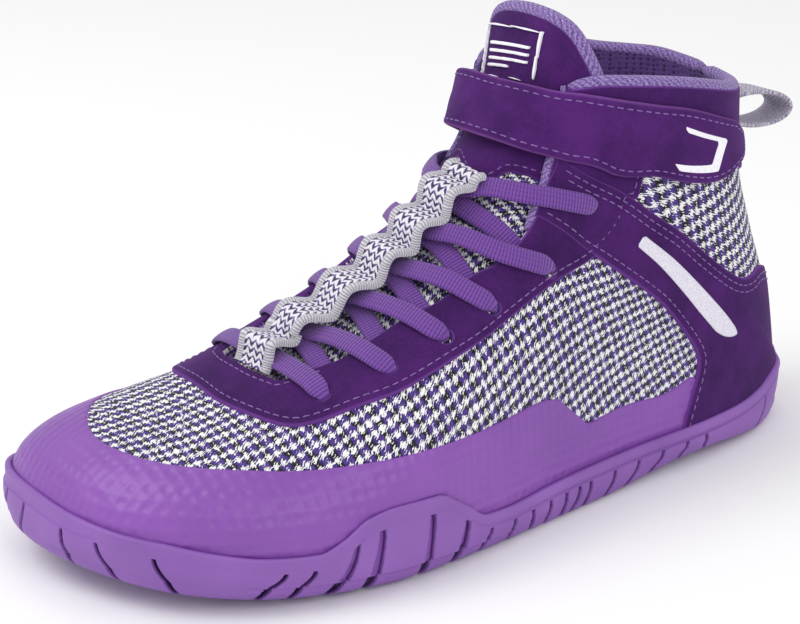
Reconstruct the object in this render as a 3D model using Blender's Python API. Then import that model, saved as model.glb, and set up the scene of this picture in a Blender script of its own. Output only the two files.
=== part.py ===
# Wrestling shoe, left foot: toe towards -Y, lateral side +X, standing on Z = 0
import math
import bmesh
import bpy
import numpy as np

# Main sizes, metres
SHOE_LENGTH = 0.272
BALL_WIDTH = 0.102
COLLAR_HEIGHT = 0.121
WALL = 0.002
GAP = 0.0004

# Last: stations run from the toe tip (0) past the foot of the heel to the collar (1)
FEATHER_INSET = 0.0025
SOFT_EDGE = 0.0015
SOFT_EDGE_STATION = 0.05
SQUARE_STATION = 0.62
HEEL_STATION = 0.75
SECTION_STEPS = 25
SPLINE_STEPS = 18
RING_STEP = 6

# Upper
THROAT_FRONT = 0.296
THROAT_ROUND = 0.03
COLLAR_PAD = 0.003
PAD_STATION = 0.84
PAD_RISE = 0.10
PAD_GIRTH = 0.36
PAD_FADE = 0.08
SHELL_GIRTH_STEPS = 12
TOE_ROW_STATION = 0.10
HEEL_ROW_STATION = 0.66

# Outsole
LIP = 0.0026
CUP_EASE = 0.0017
LIP_ROUND = 0.0007
BOTTOM_BEVEL = 0.0030
BEVEL_TURN = 0.2
TOE_SPRING = 0.0085
SPRING_START = 0.64
HEEL_SPRING = 0.003
HEEL_SPRING_END = 0.07
GROOVE_WIDTH = 0.0016
GROOVE_DEPTH = 0.0014
GROOVE_STOP = 0.0045
GROOVE_REACH = 0.6

# Soft pieces
INSOLE_THICK = 0.003
INSOLE_EASE = 0.0019
INSOLE_ROUND = 0.3
TONGUE_THICK = 0.0034
TONGUE_EASE = 0.0008
TONGUE_TIP_STATION = 0.88
STRAP_THICK = 0.0022
STRAP_LIFT = 0.0009
LACE_WIDTH = 0.0068
LACE_THICK = 0.0014
LACE_LIFT = 0.0015
LACE_OVER = 0.0005
LACE_STEPS = 8
BAND_WIDTH = 0.015
BAND_THICK = 0.0012
BAND_HUMP = 0.0016
BAND_END = 0.012
LOOP_WIDTH = 0.013
LOOP_THICK = 0.0016
LOOP_REACH = 0.029
LOOP_HEIGHT = 0.0075
LOOP_STATION = 0.955
LOOP_DROP = 0.004
LOOP_TURN = 0.845
LOOP_STEPS = 29

# Colours and roughness
RUBBER = ((0.25, 0.09, 0.38), 0.6)
KNIT = ((0.16, 0.05, 0.24), 0.85)
LINING = ((0.08, 0.03, 0.13), 0.9)
SUEDE = ((0.12, 0.04, 0.19), 0.9)
LACE_WEAVE = ((0.22, 0.08, 0.33), 0.8)
ELASTIC = ((0.62, 0.60, 0.66), 0.85)
WEBBING = ((0.38, 0.34, 0.42), 0.85)
GUIDE = ((0.2, 0.2, 0.2), 0.5)

# along, lateral, medial: shares of length and ball width
OUTLINE = [
    (0.020, 0.185, -0.180),
    (0.09, 0.325, -0.320),
    (0.19, 0.395, -0.355),
    (0.32, 0.425, -0.335),
    (0.45, 0.470, -0.315),
    (0.57, 0.530, -0.365),
    (0.67, 0.565, -0.435),
    (0.77, 0.535, -0.490),
    (0.86, 0.450, -0.515),
    (0.93, 0.305, -0.485),
    (0.975, 0.11, -0.385),
]
TOE_X = -0.175

# station, bottom along, bottom z, top along, top z, wide lateral, wide medial, wide at, roundness, ridge x;
# along as shares of length, z of collar height, wide and ridge of ball width, wide at of the section's height
STATIONS = [
    (0.00, 1.000, 0.115, 0.990, 0.130, -0.175, -0.175, 0.35, 2.0, -0.175),
    (0.03, 0.992, 0.112, 0.985, 0.190, 0.010, -0.310, 0.35, 2.0, -0.170),
    (0.06, 0.979, 0.107, 0.974, 0.244, 0.105, -0.385, 0.35, 2.1, -0.165),
    (0.10, 0.953, 0.097, 0.950, 0.306, 0.235, -0.450, 0.33, 2.2, -0.155),
    (0.15, 0.903, 0.081, 0.900, 0.351, 0.355, -0.485, 0.32, 2.3, -0.135),
    (0.21, 0.832, 0.065, 0.830, 0.384, 0.465, -0.490, 0.30, 2.3, -0.110),
    (0.28, 0.750, 0.055, 0.765, 0.426, 0.520, -0.470, 0.28, 2.2, -0.075),
    (0.36, 0.658, 0.052, 0.688, 0.500, 0.535, -0.450, 0.30, 2.3, -0.030),
    (0.44, 0.560, 0.054, 0.603, 0.600, 0.495, -0.405, 0.31, 2.3, 0.000),
    (0.52, 0.447, 0.062, 0.534, 0.715, 0.440, -0.375, 0.32, 2.3, 0.010),
    (0.59, 0.325, 0.074, 0.484, 0.814, 0.400, -0.365, 0.33, 2.35, 0.012),
    (0.65, 0.192, 0.083, 0.455, 0.880, 0.380, -0.362, 0.35, 2.45, 0.012),
    (0.69, 0.090, 0.088, 0.438, 0.925, 0.368, -0.362, 0.37, 2.55, 0.010),
    (0.72, 0.033, 0.094, 0.431, 0.957, 0.362, -0.362, 0.39, 2.65, 0.008),
    (0.74, 0.008, 0.101, 0.426, 0.980, 0.358, -0.362, 0.405, 2.75, 0.007),
    (0.75, 0.000, 0.106, 0.423, 0.990, 0.356, -0.362, 0.41, 2.8, 0.006),
    (0.80, 0.014, 0.320, 0.413, 1.041, 0.350, -0.362, 0.44, 2.8, 0.004),
    (0.85, 0.044, 0.512, 0.405, 1.091, 0.345, -0.360, 0.46, 2.8, 0.003),
    (0.90, 0.070, 0.694, 0.398, 1.149, 0.345, -0.358, 0.48, 2.8, 0.0),
    (0.95, 0.080, 0.860, 0.390, 1.215, 0.345, -0.355, 0.50, 2.8, 0.0),
    (1.00, 0.083, 1.000, 0.384, 1.290, 0.345, -0.350, 0.50, 2.8, 0.0),
]

# along, sidewall height lateral, medial: share of length, share of collar height
SIDEWALL = [
    (0.00, 0.205, 0.205),
    (0.05, 0.185, 0.185),
    (0.10, 0.135, 0.140),
    (0.16, 0.120, 0.125),
    (0.36, 0.115, 0.118),
    (0.47, 0.110, 0.125),
    (0.53, 0.105, 0.150),
    (0.575, 0.112, 0.165),
    (0.61, 0.165, 0.165),
    (0.65, 0.215, 0.150),
    (0.70, 0.218, 0.135),
    (0.735, 0.205, 0.130),
    (0.765, 0.165, 0.130),
    (0.79, 0.142, 0.132),
    (0.84, 0.148, 0.140),
    (0.89, 0.168, 0.160),
    (0.93, 0.192, 0.190),
    (1.00, 0.218, 0.218),
]

# sidewall top along, bottom along of each flex groove: shares of length
GROOVES = [
    (0.820, 0.855),
    (0.788, 0.820),
    (0.746, 0.780),
    (0.715, 0.738),
    (0.658, 0.672),
    (0.608, 0.626),
    (0.550, 0.564),
    (0.328, 0.350),
    (0.288, 0.308),
    (0.246, 0.262),
    (0.208, 0.218),
    (0.088, 0.106),
]

# station, girth half width of the throat opening
THROAT = [
    (0.296, 0.100),
    (0.36, 0.120),
    (0.46, 0.134),
    (0.58, 0.136),
    (0.62, 0.122),
    (0.66, 0.100),
    (0.70, 0.082),
    (0.85, 0.075),
    (1.00, 0.075),
]

# girth from the heel, collar station
COLLAR = [
    (0.00, 0.985),
    (0.14, 0.972),
    (0.23, 0.952),
    (0.31, 0.925),
    (0.38, 0.886),
    (0.425, 0.845),
    (0.50, 0.800),
]

# station, girth half width of the tongue
TONGUE = [
    (0.270, 0.120),
    (0.320, 0.165),
    (0.420, 0.185),
    (0.560, 0.190),
    (0.660, 0.165),
    (0.760, 0.135),
    (0.880, 0.118),
    (0.930, 0.096),
    (0.955, 0.074),
    (0.966, 0.046),
    (0.970, 0.020),
]

# girth, strap lower station, strap upper station
STRAP = [
    (0.105, 0.910, 0.940),
    (0.130, 0.897, 0.940),
    (0.210, 0.862, 0.928),
    (0.330, 0.792, 0.892),
    (0.415, 0.714, 0.848),
    (0.500, 0.676, 0.812),
    (0.585, 0.714, 0.832),
    (0.670, 0.760, 0.880),
    (0.760, 0.820, 0.905),
]

# station, girth offset of each row of eyelets
EYELETS = [
    (0.323, 0.172),
    (0.389, 0.180),
    (0.450, 0.182),
    (0.512, 0.184),
    (0.591, 0.182),
    (0.680, 0.150),
]

# Points nearer than this are one
WELD = 2e-7


def clear_scene():
    for held in list(bpy.data.objects):
        bpy.data.objects.remove(held)


def smooth_column(at, values, wanted):
    """Monotone cubic through a column of a table."""
    step = np.diff(at)
    slope = np.diff(values) / step
    tangent = np.zeros(len(values))
    for i in range(1, len(at) - 1):
        if slope[i - 1] * slope[i] > 0:
            w1 = 2 * step[i] + step[i - 1]
            w2 = step[i] + 2 * step[i - 1]
            tangent[i] = (w1 + w2) / (w1 / slope[i - 1] + w2 / slope[i])
    tangent[0] = slope[0]
    tangent[-1] = slope[-1]
    wanted = np.asarray(wanted, float)
    i = np.clip(np.searchsorted(at, wanted) - 1, 0, len(at) - 2)
    t = (wanted - at[i]) / step[i]
    near = (2 * t**3 - 3 * t**2 + 1) * values[i] + (t**3 - 2 * t**2 + t) * step[i] * tangent[i]
    far = (-2 * t**3 + 3 * t**2) * values[i + 1] + (t**3 - t**2) * step[i] * tangent[i + 1]
    return near + far


def columns(table, wanted):
    """Every column of a table at the wanted values of its first column."""
    rows = np.array(table, float)
    return [smooth_column(rows[:, 0], rows[:, k], wanted) for k in range(1, rows.shape[1])]


def outline_curve():
    """Plan outline of the outsole as (x, along) points, a closed loop through the table."""
    lateral = [(row[1], row[0]) for row in OUTLINE]
    medial = [(row[2], row[0]) for row in reversed(OUTLINE)]
    knots = np.array([(0.0, 0.0)] + lateral + [(TOE_X, 1.0)] + medial)
    knots = knots * (BALL_WIDTH, SHOE_LENGTH)
    count = len(knots)
    points = []
    for i in range(count):
        p0, p1, p2, p3 = knots[i - 1], knots[i], knots[(i + 1) % count], knots[(i + 2) % count]
        d01 = np.linalg.norm(p1 - p0) ** 0.5
        d12 = np.linalg.norm(p2 - p1) ** 0.5
        d23 = np.linalg.norm(p3 - p2) ** 0.5
        m1 = (p2 - p1) + d12 * ((p1 - p0) / d01 - (p2 - p0) / (d01 + d12))
        m2 = (p2 - p1) + d12 * ((p3 - p2) / d23 - (p3 - p1) / (d12 + d23))
        for t in np.arange(SPLINE_STEPS) / SPLINE_STEPS:
            near = (2 * t**3 - 3 * t**2 + 1) * p1 + (t**3 - 2 * t**2 + t) * m1
            far = (-2 * t**3 + 3 * t**2) * p2 + (t**3 - t**2) * m2
            points.append(near + far)
    return np.array(points)


def outline_halves(inset):
    """Lateral and medial halves of the outline, heel to toe, moved inwards."""
    loop = outline_curve()
    along = (np.roll(loop, -1, axis=0) - np.roll(loop, 1, axis=0))
    along /= np.linalg.norm(along, axis=1)[:, None]
    inward = np.stack([-along[:, 1], along[:, 0]], axis=1)
    moved = loop + inward * inset
    toe = SPLINE_STEPS * (len(OUTLINE) + 1)
    lateral = moved[: toe + 1]
    medial = np.vstack([moved[toe:], moved[:1]])[::-1]
    return lateral, medial


def outline_x(halves, share):
    """Lateral and medial x, and along, at a share of the moved outline's own length."""
    heel = halves[0][0, 1]
    toe = halves[0][-1, 1]
    along = heel + np.asarray(share) * (toe - heel)
    xs = []
    for half in halves:
        rising = np.maximum.accumulate(half[:, 1])
        xs.append(np.interp(along, rising, half[:, 0]))
    return xs[0], xs[1], along


def surface(stations, girths, grow):
    """Points of the last at each station and girth share, moved outwards by grow.

    stations has shape (n,), girths (n, m): 0 lateral feather, 0.5 ridge, 1 medial feather.
    """
    stations = np.asarray(stations, float)
    table = columns(STATIONS, stations)
    share, bottom_z, top_along, top_z, wide_l, wide_m, wide_at, round_top, ridge = table
    heel_back = stations > HEEL_STATION
    share_b = np.where(heel_back, 0.0, share)
    halves = outline_halves(FEATHER_INSET - grow)
    x_lat, x_med, along_b = outline_x(halves, share_b)
    x_lat = np.where(heel_back, 0.0, x_lat)
    x_med = np.where(heel_back, 0.0, x_med)
    bottom_z = bottom_z * COLLAR_HEIGHT
    top_z = top_z * COLLAR_HEIGHT
    back = along_b + np.where(heel_back, share, 0.0) * SHOE_LENGTH
    reach = 1e-3
    low = np.clip(stations - reach, 0, 1)
    high = np.clip(stations + reach, 0, 1)
    c_low = columns(STATIONS, low)
    c_high = columns(STATIONS, high)
    d_along = (c_high[2] - c_low[2]) * SHOE_LENGTH
    d_z = (c_high[3] - c_low[3]) * COLLAR_HEIGHT
    size = np.hypot(d_along, d_z)
    top_along = top_along * SHOE_LENGTH + grow * d_z / size
    top_z = top_z - grow * d_along / size
    squared = np.clip((stations - SQUARE_STATION) / (HEEL_STATION - SQUARE_STATION), 0, 1)
    round_low = 1.0 + squared**3
    centre = np.stack([back, bottom_z], axis=1)
    reach = np.stack([top_along, top_z], axis=1) - centre
    ridge = ridge * BALL_WIDTH
    turn = np.linspace(0, np.pi / 2, SECTION_STEPS)
    grid = np.zeros(girths.shape + (3,))
    for i in range(len(stations)):
        for side, wide, bottom_x in ((0, wide_l[i], x_lat[i]), (1, wide_m[i], x_med[i])):
            sign = 1 - 2 * side
            bottom = bottom_x
            spare = sign * (wide * BALL_WIDTH - bottom) + grow
            soft = SOFT_EDGE * min(1.0, stations[i] / SOFT_EDGE_STATION)
            wide_x = bottom + sign * 0.5 * (spare + math.hypot(spare, soft))
            rise = np.sin(turn) ** (2 / round_low[i])
            low_x = bottom + (wide_x - bottom) * rise
            low_t = wide_at[i] * (1 - np.cos(turn))
            high_x = ridge[i] + (wide_x - ridge[i]) * np.cos(turn) ** (2 / round_top[i])
            high_t = wide_at[i] + (1 - wide_at[i]) * np.sin(turn) ** (2 / round_top[i])
            x = np.concatenate([low_x, high_x[1:]])
            t = np.concatenate([low_t, high_t[1:]])
            side_view = centre[i] + t[:, None] * reach[i]
            curve = np.column_stack([x, side_view])
            run = np.concatenate([[0], np.cumsum(np.linalg.norm(np.diff(curve, axis=0), axis=1))])
            run /= run[-1]
            mine = girths[i] <= 0.5 if side == 0 else girths[i] > 0.5
            where = girths[i] * 2 if side == 0 else (1 - girths[i]) * 2
            for k in range(3):
                grid[i, mine, k] = np.interp(where[mine], run, curve[:, k])
        if stations[i] == 0:
            grid[i] = (x_lat[i], back[i], bottom_z[i])
    return grid


def place(points):
    """x, along, z to the world: toe towards -Y."""
    return np.stack([points[..., 0], SHOE_LENGTH / 2 - points[..., 1], points[..., 2]], axis=-1)


def material(name, colour, roughness):
    """One plain material."""
    made = bpy.data.materials.new(name)
    made.use_nodes = True
    shader = made.node_tree.nodes["Principled BSDF"]
    shader.inputs["Base Color"].default_value = (*colour, 1.0)
    shader.inputs["Roughness"].default_value = roughness
    return made


def solid(name, points, faces, finish):
    """A mesh object of one closed body, with near points made one and faces turned outwards."""
    points = place(np.asarray(points, float))
    rounded = np.round(points / WELD).astype(np.int64)
    _, first, index = np.unique(rounded, axis=0, return_index=True, return_inverse=True)
    index = index.reshape(-1)
    triangles = []
    for face in faces:
        corners = [int(index[v]) for v in face]
        for k in range(1, len(corners) - 1):
            triangle = (corners[0], corners[k], corners[k + 1])
            if len(set(triangle)) == 3:
                triangles.append(triangle)
    mesh = bpy.data.meshes.new(name)
    mesh.from_pydata([tuple(p) for p in points[first]], [], triangles)
    work = bmesh.new()
    work.from_mesh(mesh)
    bmesh.ops.recalc_face_normals(work, faces=work.faces)
    work.to_mesh(mesh)
    work.free()
    made = bpy.data.objects.new(name, mesh)
    made.data.materials.append(material(name + "_finish", *finish))
    bpy.context.scene.collection.objects.link(made)
    return made


def sheet_faces(rows, columns_count, start, flip):
    """Quads of a grid whose points begin at start."""
    faces = []
    for i in range(rows - 1):
        for j in range(columns_count - 1):
            a = start + i * columns_count + j
            quad = [a, a + 1, a + columns_count + 1, a + columns_count]
            faces.append(quad[::-1] if flip else quad)
    return faces


def thick_sheet(outer, inner):
    """Points and faces of a grid with two faces and a closed rim all round."""
    rows, count = outer.shape[:2]
    points = np.concatenate([outer.reshape(-1, 3), inner.reshape(-1, 3)])
    half = rows * count
    faces = sheet_faces(rows, count, 0, False) + sheet_faces(rows, count, half, True)
    rim = [j for j in range(count)]
    rim += [i * count + count - 1 for i in range(1, rows)]
    rim += [(rows - 1) * count + j for j in range(count - 2, -1, -1)]
    rim += [i * count for i in range(rows - 2, 0, -1)]
    for k in range(len(rim)):
        a = rim[k]
        b = rim[(k + 1) % len(rim)]
        faces.append([b, a, a + half, b + half])
    return points, faces


def rings_solid(rings):
    """Closed rings of equal count from the underside round to the footbed, capped at both ends."""
    count = len(rings[0])
    points = np.concatenate(rings)
    faces = []
    for r in range(len(rings) - 1):
        for k in range(count):
            a = r * count + k
            b = r * count + (k + 1) % count
            faces.append([a, b, b + count, a + count])
    toe = count // 2
    for ring, flip in ((0, True), (len(rings) - 1, False)):
        base = ring * count
        for k in range(toe):
            quad = [base + k, base + k + 1, base + (count - k - 1) % count, base + (count - k) % count]
            faces.append(quad[::-1] if flip else quad)
    return points, faces


def ring_frame():
    """Outline of the outsole from the heel round the lateral side, with its inward directions."""
    whole = outline_curve()
    loop = whole[::RING_STEP]
    turn = np.roll(whole, -1, axis=0) - np.roll(whole, 1, axis=0)
    turn /= np.linalg.norm(turn, axis=1)[:, None]
    inward = np.stack([-turn[:, 1], turn[:, 0]], axis=1)[::RING_STEP]
    return loop, inward


def sidewall_height(loop):
    """Height of the cup's edge at each point of the ring."""
    share = np.clip(loop[:, 1] / SHOE_LENGTH, 0, 1)
    lateral, medial = columns(SIDEWALL, share)
    toe = len(loop) // 2
    blend = np.arange(len(loop)) > toe
    return np.where(blend, medial, lateral) * COLLAR_HEIGHT


def feather_height(loop):
    """Height of the upper's bottom edge at each point of the ring."""
    stations = np.linspace(0, HEEL_STATION, 200)
    share, bottom = columns(STATIONS, stations)[:2]
    return np.interp(loop[:, 1] / SHOE_LENGTH, share[::-1], bottom[::-1]) * COLLAR_HEIGHT


def ground_height(along):
    """Underside of the outsole: flat, with toe spring and a small heel bevel."""
    share = along / SHOE_LENGTH
    toe = np.clip((share - SPRING_START) / (1 - SPRING_START), 0, 1)
    heel = np.clip((HEEL_SPRING_END - share) / HEEL_SPRING_END, 0, 1)
    return TOE_SPRING * toe**2 + HEEL_SPRING * heel**2


SIDE_GIRTHS = np.linspace(0, 0.5, 41)
SIDE_STATIONS = np.concatenate([np.linspace(0, 0.1, 30), np.linspace(0.1, 1, 120)[1:]])
SEARCH_OUT = -0.02
SEARCH_IN = 0.05


def side_curves(grow):
    """Fine section curves of both sides of the last, for cutting at any height."""
    girths = np.concatenate([SIDE_GIRTHS, 1 - SIDE_GIRTHS])
    return surface(SIDE_STATIONS, np.tile(girths, (len(SIDE_STATIONS), 1)), grow)


def contour(curves, height):
    """Plan loop of the last at a height: lateral points from toe to heel, then medial back."""
    halves = []
    for start in (0, len(SIDE_GIRTHS)):
        half = []
        for row in curves[:, start : start + len(SIDE_GIRTHS)]:
            if row[0, 2] <= height <= row[-1, 2]:
                x = np.interp(height, row[:, 2], row[:, 0])
                along = np.interp(height, row[:, 2], row[:, 1])
                half.append((x, along))
        halves.append(half)
    front = curves[:, len(SIDE_GIRTHS) - 1]
    toe = [[np.interp(height, front[:, 2], front[:, k]) for k in (0, 1)]]
    back = curves[SIDE_STATIONS >= HEEL_STATION, 0]
    heel = [[0.0, np.interp(height, back[:, 2], back[:, 1])]] if height > back[0, 2] else []
    return np.array(toe + halves[0] + heel + halves[1][::-1])


def wall_point(curves, start, inward, height):
    """Where the line inwards from an outline point meets the last at a height."""
    loop = contour(curves, height)
    ends = np.roll(loop, -1, axis=0)
    run = ends - loop
    across = start - loop
    cross = run[:, 0] * inward[1] - run[:, 1] * inward[0]
    cross = np.where(np.abs(cross) < 1e-12, 1e-12, cross)
    share = (across[:, 0] * inward[1] - across[:, 1] * inward[0]) / cross
    depth = -(run[:, 0] * across[:, 1] - run[:, 1] * across[:, 0]) / cross
    hits = depth[(share >= 0) & (share <= 1) & (depth > SEARCH_OUT) & (depth < SEARCH_IN)]
    return start + inward * (hits.min() if len(hits) else FEATHER_INSET)


def plan(loop, inward, inset, height):
    """A ring moved inwards and set at its heights."""
    return np.column_stack([loop + inward * inset, height])


def build_outsole():
    """Cup sole: flat tread, toe spring, flared wall, rounded lip and a footbed that follows the last."""
    loop, inward = ring_frame()
    top = sidewall_height(loop)
    feather = feather_height(loop)
    ground = ground_height(loop[:, 1])
    curves = side_curves(CUP_EASE)
    inner_top = []
    inner_mid = []
    for k in range(len(loop)):
        inner_top.append(wall_point(curves, loop[k], inward[k], top[k]))
        middle = feather[k] + 0.5 * (top[k] - feather[k])
        inner_mid.append(wall_point(curves, loop[k], inward[k], middle))
    inner_top = np.array(inner_top)
    inner_mid = np.array(inner_mid)
    depth = ((inner_mid - loop) * inward).sum(axis=1)
    flare = np.minimum(0.0, depth - LIP)
    rise = top - ground
    rings = [
        plan(loop, inward, BOTTOM_BEVEL, ground),
        plan(loop, inward, BEVEL_TURN * BOTTOM_BEVEL, ground + (1 - BEVEL_TURN) * BOTTOM_BEVEL),
        np.column_stack([loop + inward * flare[:, None], ground + 0.5 * rise]),
        np.column_stack([inner_top - inward * LIP, top - LIP_ROUND]),
        np.column_stack([inner_top - inward * (LIP - LIP_ROUND), top]),
        np.column_stack([inner_top, top]),
        np.column_stack([inner_mid, feather + 0.5 * (top - feather)]),
        plan(loop, inward, FEATHER_INSET - CUP_EASE, feather),
        plan(loop, inward, FEATHER_INSET - CUP_EASE, feather - GAP),
    ]
    points, faces = rings_solid(rings)
    return solid("outsole", points, faces, RUBBER)


def station_row():
    """Stations of the upper's grid, closer at the toe tip, throat front and heel."""
    quarter = np.pi / 2
    toe = TOE_ROW_STATION * (1 - np.cos(np.linspace(0, quarter, 8)))
    middle = np.linspace(TOE_ROW_STATION, THROAT_FRONT, 7)
    front = THROAT_FRONT + THROAT_ROUND * (1 - np.cos(np.linspace(0, quarter, 6)))
    rest = np.linspace(THROAT_FRONT + THROAT_ROUND, HEEL_ROW_STATION, 10)
    heel = HEEL_ROW_STATION + (HEEL_STATION - HEEL_ROW_STATION) * np.sin(np.linspace(0, quarter, 7))
    ankle = np.linspace(HEEL_STATION, 1.0, 9)
    return np.unique(np.round(np.concatenate([toe, middle, front, rest, heel, ankle]), 6))


def throat_half(stations):
    """Girth half width of the throat opening, rounded at its front."""
    width = columns(THROAT, np.clip(stations, THROAT_FRONT, 1.0))[0]
    reach = np.clip((stations - THROAT_FRONT) / THROAT_ROUND, 0, 1)
    return width * np.sqrt(1 - (1 - reach) ** 2)


def collar_station(stations, girths):
    """Stations over the ankle squeezed so that the last row lies on the collar line."""
    from_heel = np.minimum(girths, 1 - girths)
    limit = columns(COLLAR, from_heel)[0]
    reach = np.clip((stations[:, None] - HEEL_STATION) / (1 - HEEL_STATION), 0, 1)
    below = np.minimum(stations[:, None], HEEL_STATION)
    return below + reach * (limit - HEEL_STATION)


def surface_at(stations, girths, grow):
    """Points of the last where station, girth and grow all vary over a grid."""
    shape = stations.shape
    flat = surface(stations.reshape(-1), girths.reshape(-1, 1), grow)
    return flat.reshape(shape + (3,))


def pad_depth(stations, girths):
    """Extra thickness of the padded collar, none beside the tongue."""
    from_heel = np.minimum(girths, 1 - girths)
    up = np.clip((stations - PAD_STATION) / PAD_RISE, 0, 1)
    back = np.clip((PAD_GIRTH - from_heel) / PAD_FADE, 0, 1)
    return COLLAR_PAD * up * up * (3 - 2 * up) * back * back * (3 - 2 * back)


def grown_surface(stations, girths, grows):
    """The last moved outwards by a depth that varies over the grid."""
    near = surface_at(stations, girths, grows.min())
    far = surface_at(stations, girths, grows.max() + 1e-6)
    share = (grows - grows.min()) / (grows.max() + 1e-6 - grows.min())
    return near + share[..., None] * (far - near)


def upper_grid():
    """Stations and girths of the shell, lateral edge to medial edge, with the throat left open."""
    stations = station_row()
    steps = np.linspace(0, 1, SHELL_GIRTH_STEPS)
    edge = 0.5 - throat_half(stations)
    girths = edge[:, None] * steps
    return stations, girths


def build_upper():
    """Hollow shell of the last, open underneath, at the throat and at the collar."""
    stations, girths = upper_grid()
    rows, count = girths.shape
    ground = collar_station(stations, girths)
    points = []
    faces = []
    layers = {}
    for side in (0, 1):
        mine = girths if side == 0 else 1 - girths
        grows = -WALL - pad_depth(ground, mine)
        outer = surface_at(ground, mine, 0.0)
        inner = grown_surface(ground, mine, grows)
        for layer, sheet in (("outer", outer), ("inner", inner)):
            layers[side, layer] = len(points) * rows * count
            points.append(sheet.reshape(-1, 3))
            flip = (side == 0) == (layer == "outer")
            faces += sheet_faces(rows, count, layers[side, layer], flip)
    heel_row = int(np.searchsorted(stations, HEEL_STATION))
    throat_row = int(np.searchsorted(stations, THROAT_FRONT))
    for side in (0, 1):
        out = layers[side, "outer"]
        into = layers[side, "inner"]
        feather = [i * count for i in range(heel_row + 1)]
        throat = [i * count + count - 1 for i in range(throat_row, rows)]
        collar = [(rows - 1) * count + j for j in range(count)]
        for line, turned in ((feather, False), (throat, True), (collar, False)):
            for a, b in zip(line, line[1:]):
                quad = [out + a, out + b, into + b, into + a]
                if turned != (side == 1):
                    quad = quad[::-1]
                faces.append(quad)
    points = np.concatenate(points)
    return solid("upper", points, faces, KNIT)


def build_insole():
    """Flat insole inside the shell, over the footbed."""
    loop, inward = ring_frame()
    feather = feather_height(loop)
    curves = side_curves(-WALL - INSOLE_EASE)
    rings = [plan(loop, inward, FEATHER_INSET + WALL + INSOLE_EASE, feather)]
    for rise, inset in ((1 - INSOLE_ROUND, 0.0), (1.0, INSOLE_ROUND)):
        heights = feather + rise * INSOLE_THICK
        edge = [wall_point(curves, loop[k], inward[k], heights[k]) for k in range(len(loop))]
        rings.append(np.column_stack([np.array(edge) + inward * inset * INSOLE_THICK, heights]))
    points, faces = rings_solid(rings)
    return solid("insole", points, faces, LINING)


def build_tongue():
    """Padded tongue under the throat, from in front of the laces to above the collar."""
    lower = np.linspace(TONGUE[0][0], TONGUE_TIP_STATION, 18)
    tip = np.linspace(TONGUE_TIP_STATION, TONGUE[-1][0], 6)
    stations = np.concatenate([lower, tip[1:]])
    half = columns(TONGUE, stations)[0]
    across = np.linspace(-1, 1, 11)
    girths = 0.5 + half[:, None] * across
    grid = np.repeat(stations[:, None], len(across), axis=1)
    outer = surface_at(grid, girths, -WALL - TONGUE_EASE)
    inner = surface_at(grid, girths, -WALL - TONGUE_EASE - TONGUE_THICK)
    points, faces = thick_sheet(outer, inner)
    return solid("tongue", points, faces, SUEDE)


def build_strap():
    """Ankle strap from the medial side over the front of the ankle to its tab on the lateral side."""
    girths = np.linspace(STRAP[0][0], STRAP[-1][0], 33)
    low, high = columns(STRAP, girths)
    across = np.linspace(0, 1, 5)
    grid = low[:, None] + (high - low)[:, None] * across
    girth_grid = np.repeat(girths[:, None], len(across), axis=1)
    outer = surface_at(grid, girth_grid, STRAP_LIFT + STRAP_THICK)
    inner = surface_at(grid, girth_grid, STRAP_LIFT)
    points, faces = thick_sheet(outer, inner)
    return solid("ankle_strap", points, faces, SUEDE)


def box_at(low_along, high_along, low_z, high_z):
    """A slab across the sole whose faces lean from the bottom to the top."""
    half = 0.5 * GROOVE_WIDTH
    reach = GROOVE_REACH * BALL_WIDTH
    section = [
        (low_along - half, low_z),
        (low_along + half, low_z),
        (high_along + half, high_z),
        (high_along - half, high_z),
    ]
    points = []
    for x in (-reach, reach):
        for along, z in section:
            points.append((x, along, z))
    faces = [[0, 1, 2, 3], [7, 6, 5, 4]]
    for k in range(4):
        m = (k + 1) % 4
        faces.append([k, k + 4, m + 4, m])
    return points, faces


def build_grooves():
    """One cutter of leaning slabs, hollowed so that it cuts only the skin of the sole."""
    points = []
    faces = []
    loop, inward = ring_frame()
    top = sidewall_height(loop)
    for top_share, bottom_share in GROOVES:
        lateral = len(loop) // 2
        height = np.interp(top_share * SHOE_LENGTH, loop[:lateral, 1], top[:lateral]) - GROOVE_STOP
        low_z = -GROOVE_STOP
        high_along = top_share * SHOE_LENGTH
        low_along = bottom_share * SHOE_LENGTH
        more, sides = box_at(low_along, high_along, low_z, height)
        faces += [[v + len(points) for v in face] for face in sides]
        points += more
    cutter = solid("groove_cutter", points, faces, GUIDE)
    ground = ground_height(loop[:, 1])
    high = top + GROOVE_STOP
    rings = [
        plan(loop, inward, BOTTOM_BEVEL + GROOVE_DEPTH, ground + GROOVE_DEPTH),
        plan(loop, inward, GROOVE_DEPTH, ground + BOTTOM_BEVEL),
        plan(loop, inward, GROOVE_DEPTH, high),
    ]
    core_points, core_faces = rings_solid(rings)
    core = solid("groove_core", core_points, core_faces, GUIDE)
    subtract(cutter, core)
    for held in (cutter, core):
        held.hide_render = True
        held.display_type = "WIRE"
    return cutter


def subtract(target, tool):
    """Cuts a second closed body out of a first."""
    cut = target.modifiers.new("cut_" + tool.name, "BOOLEAN")
    cut.operation = "DIFFERENCE"
    cut.solver = "EXACT"
    cut.object = tool


def union(target, tool):
    """Joins a second closed body to a first."""
    join = target.modifiers.new("join_" + tool.name, "BOOLEAN")
    join.operation = "UNION"
    join.solver = "EXACT"
    join.object = tool
    tool.hide_render = True
    tool.display_type = "WIRE"


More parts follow.
